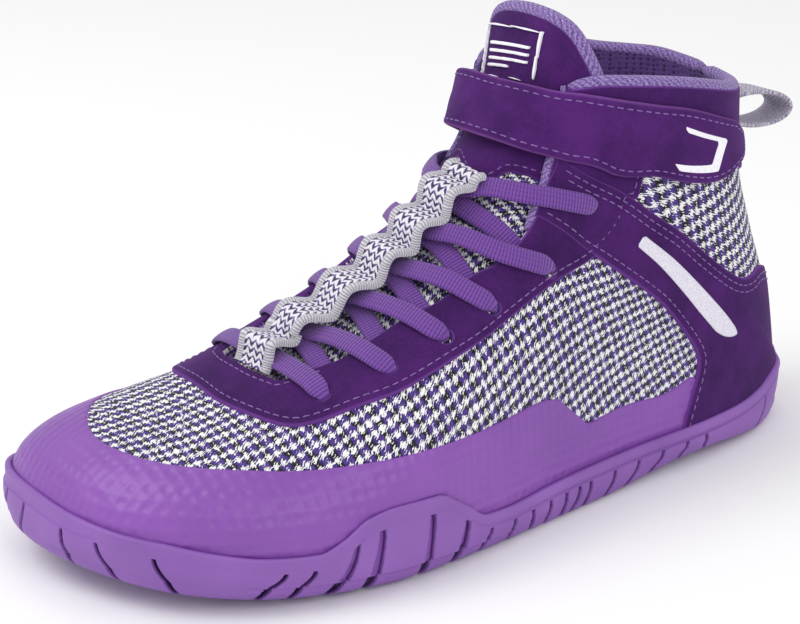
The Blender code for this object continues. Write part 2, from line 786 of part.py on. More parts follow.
def ribbon(start, end, width, low, high, steps):
    """A flat strip on the last between two (station, girth) points."""
    share = np.linspace(0, 1, steps)
    path = np.array(start) + share[:, None] * (np.array(end) - np.array(start))
    centre = surface_at(path[:, :1], path[:, 1:], high)[:, 0]
    run = np.gradient(centre, axis=0)
    run /= np.linalg.norm(run, axis=1)[:, None]
    up = centre - surface_at(path[:, :1], path[:, 1:], low)[:, 0]
    side = np.cross(run, up)
    side /= np.linalg.norm(side, axis=1)[:, None]
    up_unit = np.cross(side, run)
    outer = np.stack([centre - side * 0.5 * width, centre + side * 0.5 * width], axis=1)
    inner = outer - up_unit[:, None, :] * (high - low)
    return thick_sheet(outer, inner)


def build_lace():
    """The bottom bar and the crossings of the lace, joined into one lattice over the throat."""
    low = LACE_LIFT
    high = LACE_LIFT + LACE_THICK
    station, offset = EYELETS[0]
    start = (station, 0.5 - offset)
    end = (station, 0.5 + offset)
    middle = 0.5 * LACE_OVER
    points, faces = ribbon(start, end, LACE_WIDTH, low + middle, high + middle, LACE_STEPS)
    lattice = solid("lace", points, faces, LACE_WEAVE)
    for k in range(len(EYELETS) - 1):
        this = EYELETS[k]
        after = EYELETS[k + 1]
        for side in (-1, 1):
            start = (this[0], 0.5 + side * this[1])
            end = (after[0], 0.5 - side * after[1])
            over = LACE_OVER if side > 0 else 0.0
            points, faces = ribbon(start, end, LACE_WIDTH, low + over, high + over, LACE_STEPS)
            name = "lace_pass_" + str(k) + ("_a" if side < 0 else "_b")
            union(lattice, solid(name, points, faces, LACE_WEAVE))
    return lattice


def build_lace_band():
    """Elastic band along the middle of the throat, with one hump over each row of the lace."""
    steps = LACE_STEPS * len(EYELETS) + 1
    stations = np.linspace(EYELETS[0][0] - BAND_END, EYELETS[-1][0] + BAND_END, steps)
    turns = np.interp(stations, [row[0] for row in EYELETS], range(len(EYELETS)))
    over_lace = LACE_LIFT + LACE_OVER + LACE_THICK + GAP
    lift = over_lace + BAND_HUMP * (0.5 + 0.5 * np.cos(2 * np.pi * turns))
    column = stations[:, None]
    middle = np.full((steps, 1), 0.5)
    centre = grown_surface(column, middle, lift[:, None] + BAND_THICK)[:, 0]
    half = np.array([-0.5 * BAND_WIDTH, 0.5 * BAND_WIDTH])
    outer = np.repeat(centre[:, None, :], 2, axis=1)
    outer[:, :, 0] += half
    run = np.gradient(centre, axis=0)
    run /= np.linalg.norm(run, axis=1)[:, None]
    up = np.column_stack([np.zeros(steps), -run[:, 2], run[:, 1]])
    up *= np.sign(up[:, 2])[:, None]
    inner = outer - up[:, None, :] * BAND_THICK
    points, faces = thick_sheet(outer, inner)
    return solid("lace_band", points, faces, ELASTIC)


def build_pull_loop():
    """Webbing folded into a loop behind the top of the heel."""
    back = surface_at(np.array([[LOOP_STATION]]), np.array([[0.0]]), 0.0)[0, 0]
    turn = np.linspace(-LOOP_TURN * np.pi, LOOP_TURN * np.pi, LOOP_STEPS)
    rings = []
    for across in (-0.5, 0.5):
        for depth in (0.0, LOOP_THICK):
            radius_along = 0.5 * LOOP_REACH - depth
            radius_z = LOOP_HEIGHT - depth
            along = back[1] + GAP - 0.5 * LOOP_REACH - radius_along * np.cos(turn)
            z = back[2] - LOOP_DROP + radius_z * np.sin(turn)
            rings.append(np.column_stack([np.full(len(turn), across * LOOP_WIDTH), along, z]))
    outer = np.stack([rings[0], rings[2]], axis=1)
    inner = np.stack([rings[1], rings[3]], axis=1)
    points, faces = thick_sheet(outer, inner)
    return solid("pull_loop", points, faces, WEBBING)


clear_scene()
outsole = build_outsole()
subtract(outsole, build_grooves())
build_upper()
build_insole()
build_tongue()
build_strap()
build_lace()
build_lace_band()
build_pull_loop()
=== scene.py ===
import math
import bmesh
import bpy
import numpy as np
from mathutils import Matrix, kdtree


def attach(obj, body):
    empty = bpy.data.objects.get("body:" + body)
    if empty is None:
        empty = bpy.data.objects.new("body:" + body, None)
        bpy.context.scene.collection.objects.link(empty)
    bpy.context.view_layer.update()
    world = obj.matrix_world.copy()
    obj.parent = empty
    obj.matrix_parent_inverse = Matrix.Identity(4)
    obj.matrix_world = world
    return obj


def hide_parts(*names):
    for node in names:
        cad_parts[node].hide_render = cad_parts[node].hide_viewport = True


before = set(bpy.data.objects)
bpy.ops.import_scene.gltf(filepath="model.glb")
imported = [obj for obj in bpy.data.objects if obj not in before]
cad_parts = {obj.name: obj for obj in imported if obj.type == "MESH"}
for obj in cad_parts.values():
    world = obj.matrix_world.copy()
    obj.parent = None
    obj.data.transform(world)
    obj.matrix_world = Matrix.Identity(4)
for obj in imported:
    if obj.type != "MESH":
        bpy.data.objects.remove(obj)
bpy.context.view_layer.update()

# Outsole: a one-piece cup of moulded rubber, cemented round the upper.
# A smooth lip runs along its top, and slits sweep down the wall below it as
# flex grooves; the arch is cut low and the outer wall rises in a wave.
SHOE_LENGTH = 0.272
BALL_WIDTH = 0.102
COLLAR_HEIGHT = 0.121
WALL = 0.002
GAP = 0.0004
FEATHER_INSET = 0.0025
SOFT_EDGE = 0.0015
SOFT_EDGE_STATION = 0.05
SQUARE_STATION = 0.62
HEEL_STATION = 0.75
THROAT_FRONT = 0.296
THROAT_ROUND = 0.03
COLLAR_PAD = 0.003
PAD_STATION = 0.84
PAD_RISE = 0.10
PAD_GIRTH = 0.36
PAD_FADE = 0.08
TOE_SPRING = 0.0085
SPRING_START = 0.64
HEEL_SPRING = 0.003
HEEL_SPRING_END = 0.07
INSOLE_EASE = 0.0019
STRAP_THICK = 0.0022
STRAP_LIFT = 0.0009
LACE_WIDTH = 0.0068
LOOP_WIDTH = 0.013
LOOP_THICK = 0.0016
LOOP_REACH = 0.029
LOOP_HEIGHT = 0.0075
LOOP_STATION = 0.955
LOOP_DROP = 0.004
LOOP_TURN = 0.845
TOE_X = -0.175
SECTION_STEPS = 161
SPLINE_STEPS = 72
OUTLINE = [
    (0.020, 0.185, -0.180),
    (0.09, 0.325, -0.320),
    (0.19, 0.395, -0.355),
    (0.32, 0.425, -0.335),
    (0.45, 0.470, -0.315),
    (0.57, 0.530, -0.365),
    (0.67, 0.565, -0.435),
    (0.77, 0.535, -0.490),
    (0.86, 0.450, -0.515),
    (0.93, 0.305, -0.485),
    (0.975, 0.11, -0.385),
]
STATIONS = [
    (0.00, 1.000, 0.115, 0.990, 0.130, -0.175, -0.175, 0.35, 2.0, -0.175),
    (0.03, 0.992, 0.112, 0.985, 0.190, 0.010, -0.310, 0.35, 2.0, -0.170),
    (0.06, 0.979, 0.107, 0.974, 0.244, 0.105, -0.385, 0.35, 2.1, -0.165),
    (0.10, 0.953, 0.097, 0.950, 0.306, 0.235, -0.450, 0.33, 2.2, -0.155),
    (0.15, 0.903, 0.081, 0.900, 0.351, 0.355, -0.485, 0.32, 2.3, -0.135),
    (0.21, 0.832, 0.065, 0.830, 0.384, 0.465, -0.490, 0.30, 2.3, -0.110),
    (0.28, 0.750, 0.055, 0.765, 0.426, 0.520, -0.470, 0.28, 2.2, -0.075),
    (0.36, 0.658, 0.052, 0.688, 0.500, 0.535, -0.450, 0.30, 2.3, -0.030),
    (0.44, 0.560, 0.054, 0.603, 0.600, 0.495, -0.405, 0.31, 2.3, 0.000),
    (0.52, 0.447, 0.062, 0.534, 0.715, 0.440, -0.375, 0.32, 2.3, 0.010),
    (0.59, 0.325, 0.074, 0.484, 0.814, 0.400, -0.365, 0.33, 2.35, 0.012),
    (0.65, 0.192, 0.083, 0.455, 0.880, 0.380, -0.362, 0.35, 2.45, 0.012),
    (0.69, 0.090, 0.088, 0.438, 0.925, 0.368, -0.362, 0.37, 2.55, 0.010),
    (0.72, 0.033, 0.094, 0.431, 0.957, 0.362, -0.362, 0.39, 2.65, 0.008),
    (0.74, 0.008, 0.101, 0.426, 0.980, 0.358, -0.362, 0.405, 2.75, 0.007),
    (0.75, 0.000, 0.106, 0.423, 0.990, 0.356, -0.362, 0.41, 2.8, 0.006),
    (0.80, 0.014, 0.320, 0.413, 1.041, 0.350, -0.362, 0.44, 2.8, 0.004),
    (0.85, 0.044, 0.512, 0.405, 1.091, 0.345, -0.360, 0.46, 2.8, 0.003),
    (0.90, 0.070, 0.694, 0.398, 1.149, 0.345, -0.358, 0.48, 2.8, 0.0),
    (0.95, 0.080, 0.860, 0.390, 1.215, 0.345, -0.355, 0.50, 2.8, 0.0),
    (1.00, 0.083, 1.000, 0.384, 1.290, 0.345, -0.350, 0.50, 2.8, 0.0),
]
SIDEWALL = [
    (0.00, 0.205, 0.205),
    (0.05, 0.185, 0.185),
    (0.10, 0.135, 0.140),
    (0.16, 0.120, 0.125),
    (0.36, 0.115, 0.118),
    (0.47, 0.110, 0.125),
    (0.53, 0.105, 0.150),
    (0.575, 0.112, 0.165),
    (0.61, 0.165, 0.165),
    (0.65, 0.215, 0.150),
    (0.70, 0.218, 0.135),
    (0.735, 0.205, 0.130),
    (0.765, 0.165, 0.130),
    (0.79, 0.142, 0.132),
    (0.84, 0.148, 0.140),
    (0.89, 0.168, 0.160),
    (0.93, 0.192, 0.190),
    (1.00, 0.218, 0.218),
]
THROAT = [
    (0.296, 0.100),
    (0.36, 0.120),
    (0.46, 0.134),
    (0.58, 0.136),
    (0.62, 0.122),
    (0.66, 0.100),
    (0.70, 0.082),
    (0.85, 0.075),
    (1.00, 0.075),
]
TONGUE = [
    (0.270, 0.120),
    (0.320, 0.165),
    (0.420, 0.185),
    (0.560, 0.190),
    (0.660, 0.165),
    (0.760, 0.135),
    (0.880, 0.118),
    (0.930, 0.096),
    (0.955, 0.074),
    (0.966, 0.046),
    (0.970, 0.020),
]


def path_length(points):
    """Length run along a path up to each of its points."""
    return np.concatenate([[0], np.cumsum(np.linalg.norm(np.diff(points, axis=0), axis=1))])


def smooth_column(at, values, wanted):
    """Monotone cubic through a column of a table."""
    step = np.diff(at)
    slope = np.diff(values) / step
    tangent = np.zeros(len(values))
    for i in range(1, len(at) - 1):
        if slope[i - 1] * slope[i] > 0:
            w1 = 2 * step[i] + step[i - 1]
            w2 = step[i] + 2 * step[i - 1]
            tangent[i] = (w1 + w2) / (w1 / slope[i - 1] + w2 / slope[i])
    tangent[0] = slope[0]
    tangent[-1] = slope[-1]
    wanted = np.asarray(wanted, float)
    i = np.clip(np.searchsorted(at, wanted) - 1, 0, len(at) - 2)
    t = (wanted - at[i]) / step[i]
    near = (2 * t**3 - 3 * t**2 + 1) * values[i] + (t**3 - 2 * t**2 + t) * step[i] * tangent[i]
    far = (-2 * t**3 + 3 * t**2) * values[i + 1] + (t**3 - t**2) * step[i] * tangent[i + 1]
    return near + far


def columns(table, wanted):
    """Every column of a table at the wanted values of its first column."""
    rows = np.array(table, float)
    return [smooth_column(rows[:, 0], rows[:, k], wanted) for k in range(1, rows.shape[1])]


def outline_curve():
    """Plan outline of the outsole as (x, along) points, a closed loop through the table."""
    lateral = [(row[1], row[0]) for row in OUTLINE]
    medial = [(row[2], row[0]) for row in reversed(OUTLINE)]
    knots = np.array([(0.0, 0.0)] + lateral + [(TOE_X, 1.0)] + medial)
    knots = knots * (BALL_WIDTH, SHOE_LENGTH)
    count = len(knots)
    points = []
    for i in range(count):
        p0, p1, p2, p3 = knots[i - 1], knots[i], knots[(i + 1) % count], knots[(i + 2) % count]
        d01 = np.linalg.norm(p1 - p0) ** 0.5
        d12 = np.linalg.norm(p2 - p1) ** 0.5
        d23 = np.linalg.norm(p3 - p2) ** 0.5
        m1 = (p2 - p1) + d12 * ((p1 - p0) / d01 - (p2 - p0) / (d01 + d12))
        m2 = (p2 - p1) + d12 * ((p3 - p2) / d23 - (p3 - p1) / (d12 + d23))
        for t in np.arange(SPLINE_STEPS) / SPLINE_STEPS:
            near = (2 * t**3 - 3 * t**2 + 1) * p1 + (t**3 - 2 * t**2 + t) * m1
            far = (-2 * t**3 + 3 * t**2) * p2 + (t**3 - t**2) * m2
            points.append(near + far)
    return np.array(points)


def outline_halves(inset):
    """Lateral and medial halves of the outline, heel to toe, moved inwards."""
    loop = outline_curve()
    along = (np.roll(loop, -1, axis=0) - np.roll(loop, 1, axis=0))
    along /= np.linalg.norm(along, axis=1)[:, None]
    inward = np.stack([-along[:, 1], along[:, 0]], axis=1)
    moved = loop + inward * inset
    toe = SPLINE_STEPS * (len(OUTLINE) + 1)
    lateral = moved[: toe + 1]
    medial = np.vstack([moved[toe:], moved[:1]])[::-1]
    return lateral, medial


def outline_x(halves, share):
    """Lateral and medial x, and along, at a share of the moved outline's own length."""
    heel = halves[0][0, 1]
    toe = halves[0][-1, 1]
    along = heel + np.asarray(share) * (toe - heel)
    xs = []
    for half in halves:
        rising = np.maximum.accumulate(half[:, 1])
        xs.append(np.interp(along, rising, half[:, 0]))
    return xs[0], xs[1], along


def surface(stations, girths, grow):
    """Points of the last at each station and girth share, moved outwards by grow.

    stations has shape (n,), girths (n, m): 0 lateral feather, 0.5 ridge, 1 medial feather.
    """
    stations = np.asarray(stations, float)
    table = columns(STATIONS, stations)
    share, bottom_z, top_along, top_z, wide_l, wide_m, wide_at, round_top, ridge = table
    heel_back = stations > HEEL_STATION
    share_b = np.where(heel_back, 0.0, share)
    halves = outline_halves(FEATHER_INSET - grow)
    x_lat, x_med, along_b = outline_x(halves, share_b)
    x_lat = np.where(heel_back, 0.0, x_lat)
    x_med = np.where(heel_back, 0.0, x_med)
    bottom_z = bottom_z * COLLAR_HEIGHT
    top_z = top_z * COLLAR_HEIGHT
    back = along_b + np.where(heel_back, share, 0.0) * SHOE_LENGTH
    reach = 1e-3
    low = np.clip(stations - reach, 0, 1)
    high = np.clip(stations + reach, 0, 1)
    c_low = columns(STATIONS, low)
    c_high = columns(STATIONS, high)
    d_along = (c_high[2] - c_low[2]) * SHOE_LENGTH
    d_z = (c_high[3] - c_low[3]) * COLLAR_HEIGHT
    size = np.hypot(d_along, d_z)
    top_along = top_along * SHOE_LENGTH + grow * d_z / size
    top_z = top_z - grow * d_along / size
    squared = np.clip((stations - SQUARE_STATION) / (HEEL_STATION - SQUARE_STATION), 0, 1)
    round_low = 1.0 + squared**3
    centre = np.stack([back, bottom_z], axis=1)
    reach = np.stack([top_along, top_z], axis=1) - centre
    ridge = ridge * BALL_WIDTH
    turn = np.linspace(0, np.pi / 2, SECTION_STEPS)
    grid = np.zeros(girths.shape + (3,))
    for i in range(len(stations)):
        for side, wide, bottom_x in ((0, wide_l[i], x_lat[i]), (1, wide_m[i], x_med[i])):
            sign = 1 - 2 * side
            bottom = bottom_x
            spare = sign * (wide * BALL_WIDTH - bottom) + grow
            soft = SOFT_EDGE * min(1.0, stations[i] / SOFT_EDGE_STATION)
            wide_x = bottom + sign * 0.5 * (spare + math.hypot(spare, soft))
            rise = np.sin(turn) ** (2 / round_low[i])
            low_x = bottom + (wide_x - bottom) * rise
            low_t = wide_at[i] * (1 - np.cos(turn))
            high_x = ridge[i] + (wide_x - ridge[i]) * np.cos(turn) ** (2 / round_top[i])
            high_t = wide_at[i] + (1 - wide_at[i]) * np.sin(turn) ** (2 / round_top[i])
            x = np.concatenate([low_x, high_x[1:]])
            t = np.concatenate([low_t, high_t[1:]])
            side_view = centre[i] + t[:, None] * reach[i]
            curve = np.column_stack([x, side_view])
            run = path_length(curve)
            run /= run[-1]
            mine = girths[i] <= 0.5 if side == 0 else girths[i] > 0.5
            where = girths[i] * 2 if side == 0 else (1 - girths[i]) * 2
            for k in range(3):
                grid[i, mine, k] = np.interp(where[mine], run, curve[:, k])
        if stations[i] == 0:
            grid[i] = (x_lat[i], back[i], bottom_z[i])
    return grid


def place(points):
    """x, along, z to the world: toe towards -Y."""
    return np.stack([points[..., 0], SHOE_LENGTH / 2 - points[..., 1], points[..., 2]], axis=-1)


def sheet_faces(rows, columns_count, start, flip):
    """Quads of a grid whose points begin at start."""
    faces = []
    for i in range(rows - 1):
        for j in range(columns_count - 1):
            a = start + i * columns_count + j
            quad = [a, a + 1, a + columns_count + 1, a + columns_count]
            faces.append(quad[::-1] if flip else quad)
    return faces


def thick_sheet(outer, inner):
    """Points and faces of a grid with two faces and a closed rim all round."""
    rows, count = outer.shape[:2]
    points = np.concatenate([outer.reshape(-1, 3), inner.reshape(-1, 3)])
    half = rows * count
    faces = sheet_faces(rows, count, 0, False) + sheet_faces(rows, count, half, True)
    rim = list(range(count))
    rim += [i * count + count - 1 for i in range(1, rows)]
    rim += [(rows - 1) * count + j for j in range(count - 2, -1, -1)]
    rim += [i * count for i in range(rows - 2, 0, -1)]
    for k in range(len(rim)):
        a = rim[k]
        b = rim[(k + 1) % len(rim)]
        faces.append([b, a, a + half, b + half])
    return points, faces


def rings_solid(rings):
    """Closed rings of equal count from the underside round to the footbed, capped at both ends."""
    count = len(rings[0])
    points = np.concatenate(rings)
    faces = []
    for r in range(len(rings) - 1):
        for k in range(count):
            a = r * count + k
            b = r * count + (k + 1) % count
            faces.append([a, b, b + count, a + count])
    along = rings[0][:, 1]
    toe = int(np.argmax(along))
    for base, flip in ((0, True), ((len(rings) - 1) * count, False)):
        near, far = 0, count
        while near < toe or far > toe + 1:
            if near < toe and (far <= toe + 1 or along[near + 1] <= along[far - 1]):
                corner = [near, near + 1, far % count]
                near += 1
            else:
                corner = [near, far - 1, far % count]
                far -= 1
            faces.append([base + k for k in (corner[::-1] if flip else corner)])
    return points, faces


def ring_frame():
    """Outline of the outsole from the heel round the lateral side, with its inward directions."""
    whole = outline_curve()
    turn = np.roll(whole, -1, axis=0) - np.roll(whole, 1, axis=0)
    turn /= np.linalg.norm(turn, axis=1)[:, None]
    return whole, np.stack([-turn[:, 1], turn[:, 0]], axis=1)


def sidewall_height(loop):
    """Height of the cup's edge at each point of the ring."""
    share = np.clip(loop[:, 1] / SHOE_LENGTH, 0, 1)
    lateral, medial = columns(SIDEWALL, share)
    blend = np.arange(len(loop)) > np.argmax(loop[:, 1])
    return np.where(blend, medial, lateral) * COLLAR_HEIGHT


def feather_height(loop):
    """Height of the upper's bottom edge at each point of the ring."""
    stations = np.linspace(0, HEEL_STATION, 200)
    share, bottom = columns(STATIONS, stations)[:2]
    return np.interp(loop[:, 1] / SHOE_LENGTH, share[::-1], bottom[::-1]) * COLLAR_HEIGHT


def ground_height(along):
    """Underside of the outsole: flat, with toe spring and a small heel bevel."""
    share = along / SHOE_LENGTH
    toe = np.clip((share - SPRING_START) / (1 - SPRING_START), 0, 1)
    heel = np.clip((HEEL_SPRING_END - share) / HEEL_SPRING_END, 0, 1)
    return TOE_SPRING * toe**2 + HEEL_SPRING * heel**2


SIDE_GIRTHS = np.linspace(0, 0.5, 41)
SIDE_STATIONS = np.concatenate([np.linspace(0, 0.1, 30), np.linspace(0.1, 1, 120)[1:]])
SEARCH_OUT = -0.02
SEARCH_IN = 0.05


def side_curves(grow):
    """Fine section curves of both sides of the last, for cutting at any height."""
    girths = np.concatenate([SIDE_GIRTHS, 1 - SIDE_GIRTHS])
    return surface(SIDE_STATIONS, np.tile(girths, (len(SIDE_STATIONS), 1)), grow)


def contour(curves, height):
    """Plan loop of the last at a height: lateral points from toe to heel, then medial back."""
    halves = []
    for start in (0, len(SIDE_GIRTHS)):
        half = []
        for row in curves[:, start : start + len(SIDE_GIRTHS)]:
            if row[0, 2] <= height <= row[-1, 2]:
                x = np.interp(height, row[:, 2], row[:, 0])
                along = np.interp(height, row[:, 2], row[:, 1])
                half.append((x, along))
        halves.append(half)
    front = curves[:, len(SIDE_GIRTHS) - 1]
    toe = [[np.interp(height, front[:, 2], front[:, k]) for k in (0, 1)]]
    back = curves[SIDE_STATIONS >= HEEL_STATION, 0]
    heel = [[0.0, np.interp(height, back[:, 2], back[:, 1])]] if height > back[0, 2] else []
    return np.array(toe + halves[0] + heel + halves[1][::-1])


def wall_point(curves, start, inward, height):
    """Where the line inwards from an outline point meets the last at a height."""
    loop = contour(curves, height)
    ends = np.roll(loop, -1, axis=0)
    run = ends - loop
    across = start - loop
    cross = run[:, 0] * inward[1] - run[:, 1] * inward[0]
    cross = np.where(np.abs(cross) < 1e-12, 1e-12, cross)
    share = (across[:, 0] * inward[1] - across[:, 1] * inward[0]) / cross
    depth = -(run[:, 0] * across[:, 1] - run[:, 1] * across[:, 0]) / cross
    hits = depth[(share >= 0) & (share <= 1) & (depth > SEARCH_OUT) & (depth < SEARCH_IN)]
    return start + inward * (hits.min() if len(hits) else FEATHER_INSET)


def plan(loop, inward, inset, height):
    """A ring moved inwards and set at its heights."""
    return np.column_stack([loop + inward * inset, height])


def throat_half(stations):
    """Girth half width of the throat opening, rounded at its front."""
    width = columns(THROAT, np.clip(stations, THROAT_FRONT, 1.0))[0]
    reach = np.clip((stations - THROAT_FRONT) / THROAT_ROUND, 0, 1)
    return width * np.sqrt(1 - (1 - reach) ** 2)


def pad_depth(stations, girths):
    """Extra thickness of the padded collar, none beside the tongue."""
    from_heel = np.minimum(girths, 1 - girths)
    up = np.clip((stations - PAD_STATION) / PAD_RISE, 0, 1)
    back = np.clip((PAD_GIRTH - from_heel) / PAD_FADE, 0, 1)
    return COLLAR_PAD * up * up * (3 - 2 * up) * back * back * (3 - 2 * back)


STATION_LINES = np.concatenate([0.1 * (1 - np.cos(np.linspace(0, np.pi / 2, 50))), np.linspace(0.1, 1, 481)[1:]])
GIRTH_LINES = np.linspace(0, 1, 321)
LAST = place(surface(STATION_LINES, np.tile(GIRTH_LINES, (len(STATION_LINES), 1)), 0.0))
NORMALS = np.cross(np.gradient(LAST, axis=0), np.gradient(LAST, axis=1))
NORMALS /= np.maximum(np.linalg.norm(NORMALS, axis=2), 1e-12)[..., None]
NORMALS[:4] = NORMALS[4]
NORMALS *= np.sign(NORMALS[250, 80, 0])
for _ in range(3):
    inner = NORMALS[:-2, 1:-1] + NORMALS[2:, 1:-1] + NORMALS[1:-1, :-2] + NORMALS[1:-1, 2:]
    NORMALS[1:-1, 1:-1] = 0.5 * NORMALS[1:-1, 1:-1] + 0.125 * inner
NORMALS /= np.linalg.norm(NORMALS, axis=2)[..., None]


def tone(code):
    """An sRGB hex colour as linear RGBA."""
    parts = [int(code[i : i + 2], 16) / 255 for i in (1, 3, 5)]
    linear = [p / 12.92 if p <= 0.04045 else ((p + 0.055) / 1.055) ** 2.4 for p in parts]
    return (*linear, 1.0)


def finish(name):
    """An empty material, filled by node()."""
    made = bpy.data.materials.new(name)
    made.use_nodes = True
    made.node_tree.nodes.clear()
    return made


def node(material, kind, inputs=None, **settings):
    """One node with its settings and inputs; an input that is a node or a socket becomes a link."""
    tree = material.node_tree
    made = tree.nodes.new("ShaderNode" + kind)
    for key, value in settings.items():
        setattr(made, key, value)
    for key, value in (inputs or {}).items():
        if isinstance(value, bpy.types.Node):
            value = next(socket for socket in value.outputs if socket.enabled)
        if isinstance(value, bpy.types.NodeSocket):
            tree.links.new(value, made.inputs[key])
        else:
            made.inputs[key].default_value = value
    return made


def ramp(material, source, stops):
    """A colour ramp from (place, colour) stops."""
    made = node(material, "ValToRGB", {"Fac": source})
    bar = made.color_ramp.elements
    while len(bar) < len(stops):
        bar.new(0.5)
    for held, (place_at, colour) in zip(bar, stops):
        held.position = place_at
        held.color = colour
    return made


def shape(name, points, faces, material, replaced, cloth=None, edge=None, sharp=None, outward=None):
    """One visible piece in the shoe's frame, with its finish; the CAD nodes it stands for are hidden."""
    mesh = bpy.data.meshes.new(name)
    mesh.from_pydata(np.asarray(points).tolist(), [], [[int(v) for v in face] for face in faces])
    mesh.validate()
    if cloth is not None:
        layer = mesh.uv_layers.new(name="cloth")
        corner = np.empty(len(mesh.loops), np.int32)
        mesh.loops.foreach_get("vertex_index", corner)
        layer.data.foreach_set("uv", np.asarray(cloth, np.float32)[corner].reshape(-1))
    if edge is not None:
        field = mesh.attributes.new("edge_mm", "FLOAT", "POINT")
        field.data.foreach_set("value", np.asarray(edge, np.float32) * 1000)
    if outward is None:
        work = bmesh.new()
        work.from_mesh(mesh)
        bmesh.ops.recalc_face_normals(work, faces=work.faces)
        work.to_mesh(mesh)
        work.free()
    mesh.shade_smooth()
    if sharp is not None:
        mesh.set_sharp_from_angle(angle=math.radians(sharp))
    mesh.materials.append(material)
    made = bpy.data.objects.new(name, mesh)
    bpy.context.scene.collection.objects.link(made)
    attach(made, "root")
    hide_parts(*replaced)
    return made


# Head and foot of each slit along the sole, mm from the heel; the toe ones by distance round the edge
SLITS = [
    (224, 233), (216, 224), (204, 213), (196, 201), (179, 182), (165, 170), (155, 159), (145, 147),
    (137, 137), (129, 131), (122, 124), (116, 120), (111, 114), (100, 105), (89, 96), (78, 85),
    (67, 71), (58, 58), (24, 29),
]
TOE_SLITS = [(314, 312), (301, 295), (283, 277)]
SLIT_MARGIN = 1.8
SLIT_SOFT = 0.45
WIDE_SLITS = (162, 212)
STEP_DOWN = 0.0043
SLIT_DEPTH = 0.0024
ARCH_LIFT = 0.0034
SHOE_CLEARANCE = 0.0009
ROUND_SHARE = 0.8
loop, inward = ring_frame()
loop = np.stack([loop, 0.5 * (loop + np.roll(loop, -1, axis=0))], axis=1).reshape(-1, loop.shape[1])
inward = np.stack([inward, 0.5 * (inward + np.roll(inward, -1, axis=0))], axis=1).reshape(-1, inward.shape[1])
inward /= np.linalg.norm(inward, axis=1)[:, None]
arc = path_length(loop) * 1000
total_arc = arc[-1] + 1000 * np.linalg.norm(loop[0] - loop[-1])
lateral_arc = arc[: len(loop) // 2]
lateral_along = loop[: len(loop) // 2, 1] * 1000
heads = [tuple(np.interp(ends, lateral_along, lateral_arc)) for ends in SLITS]
heads += TOE_SLITS
heads += [(total_arc - head, total_arc - foot) for head, foot in heads if head < 320]
# Points stay close together only where a slit runs, closest on the lateral side
near = np.zeros(len(loop), bool)
for head, foot in heads:
    near |= (arc > min(head, foot) - SLIT_MARGIN) & (arc < max(head, foot) + SLIT_MARGIN)
order = np.arange(len(loop))
keep = (order % 4 == 0) | (near & ((order % 2 == 0) | (arc < 0.5 * total_arc + 12)))
loop, inward, arc = loop[keep], inward[keep], arc[keep]
curves = side_curves(0.0004)
ring_top = sidewall_height(loop)
ring_feather = feather_height(loop)
levels = np.linspace(0.1, 1, 6)
depths = []
for k in range(0, len(loop), 6):
    heights = ring_feather[k] + levels * (ring_top[k] - ring_feather[k])
    depths.append([(wall_point(curves, loop[k], inward[k], height) - loop[k]) @ inward[k] for height in heights])
index = np.arange(len(loop))
wrapped = np.append(arc[::6], total_arc)
depths = [np.interp(arc, wrapped, np.append(column, column[0])) for column in np.array(depths).T]
depth_mid, depth_top = depths[2], depths[-1]
along_ring = loop[:, 1]
toe_index = int(np.argmax(along_ring))
arch = np.sin(np.pi * np.clip((along_ring - 0.012) / 0.095, 0, 1)) ** 2
ring_ground = ground_height(along_ring) + ARCH_LIFT * arch
to_heel = np.clip((0.175 - along_ring) / 0.05, 0, 1)
foot_round = 0.0075 - 0.0037 * to_heel
ridge = 0.15 + 0.85 * to_heel
lip = 0.0008 + 0.0005 * to_heel + 0.0007 * np.clip((along_ring - 0.215) / 0.035, 0, 1)


def slit_depth(height_share):
    """How far the wall is cut in at each ring point, at a share of the height between ground and step line."""
    cut = np.zeros(len(loop))
    for head, foot in heads:
        at = head + (foot - head) * (1 - height_share) ** 1.6
        along_mm = loop[int(np.interp(at, arc, index)), 1] * 1000
        half = (0.30 + 0.40 * (1 - height_share)) * (2.2 if WIDE_SLITS[0] < along_mm < WIDE_SLITS[1] else 1.0)
        away = np.abs(arc - at)
        edge = np.clip((half + SLIT_SOFT - np.minimum(away, total_arc - away)) / SLIT_SOFT, 0, 1)
        cut = np.maximum(cut, edge * edge * (3 - 2 * edge))
    return cut * np.clip((0.97 - height_share) / 0.06, 0, 1) * SLIT_DEPTH


def shoe_inset(height):
    """How far in from the ring the shoe's own side stands at a height, less a small clearance."""
    up = np.clip((height - ring_feather) / (ring_top - ring_feather), 0.1, 1)
    return np.array([np.interp(u, levels, row) for u, row in zip(up, np.array(depths).T)]) - SHOE_CLEARANCE


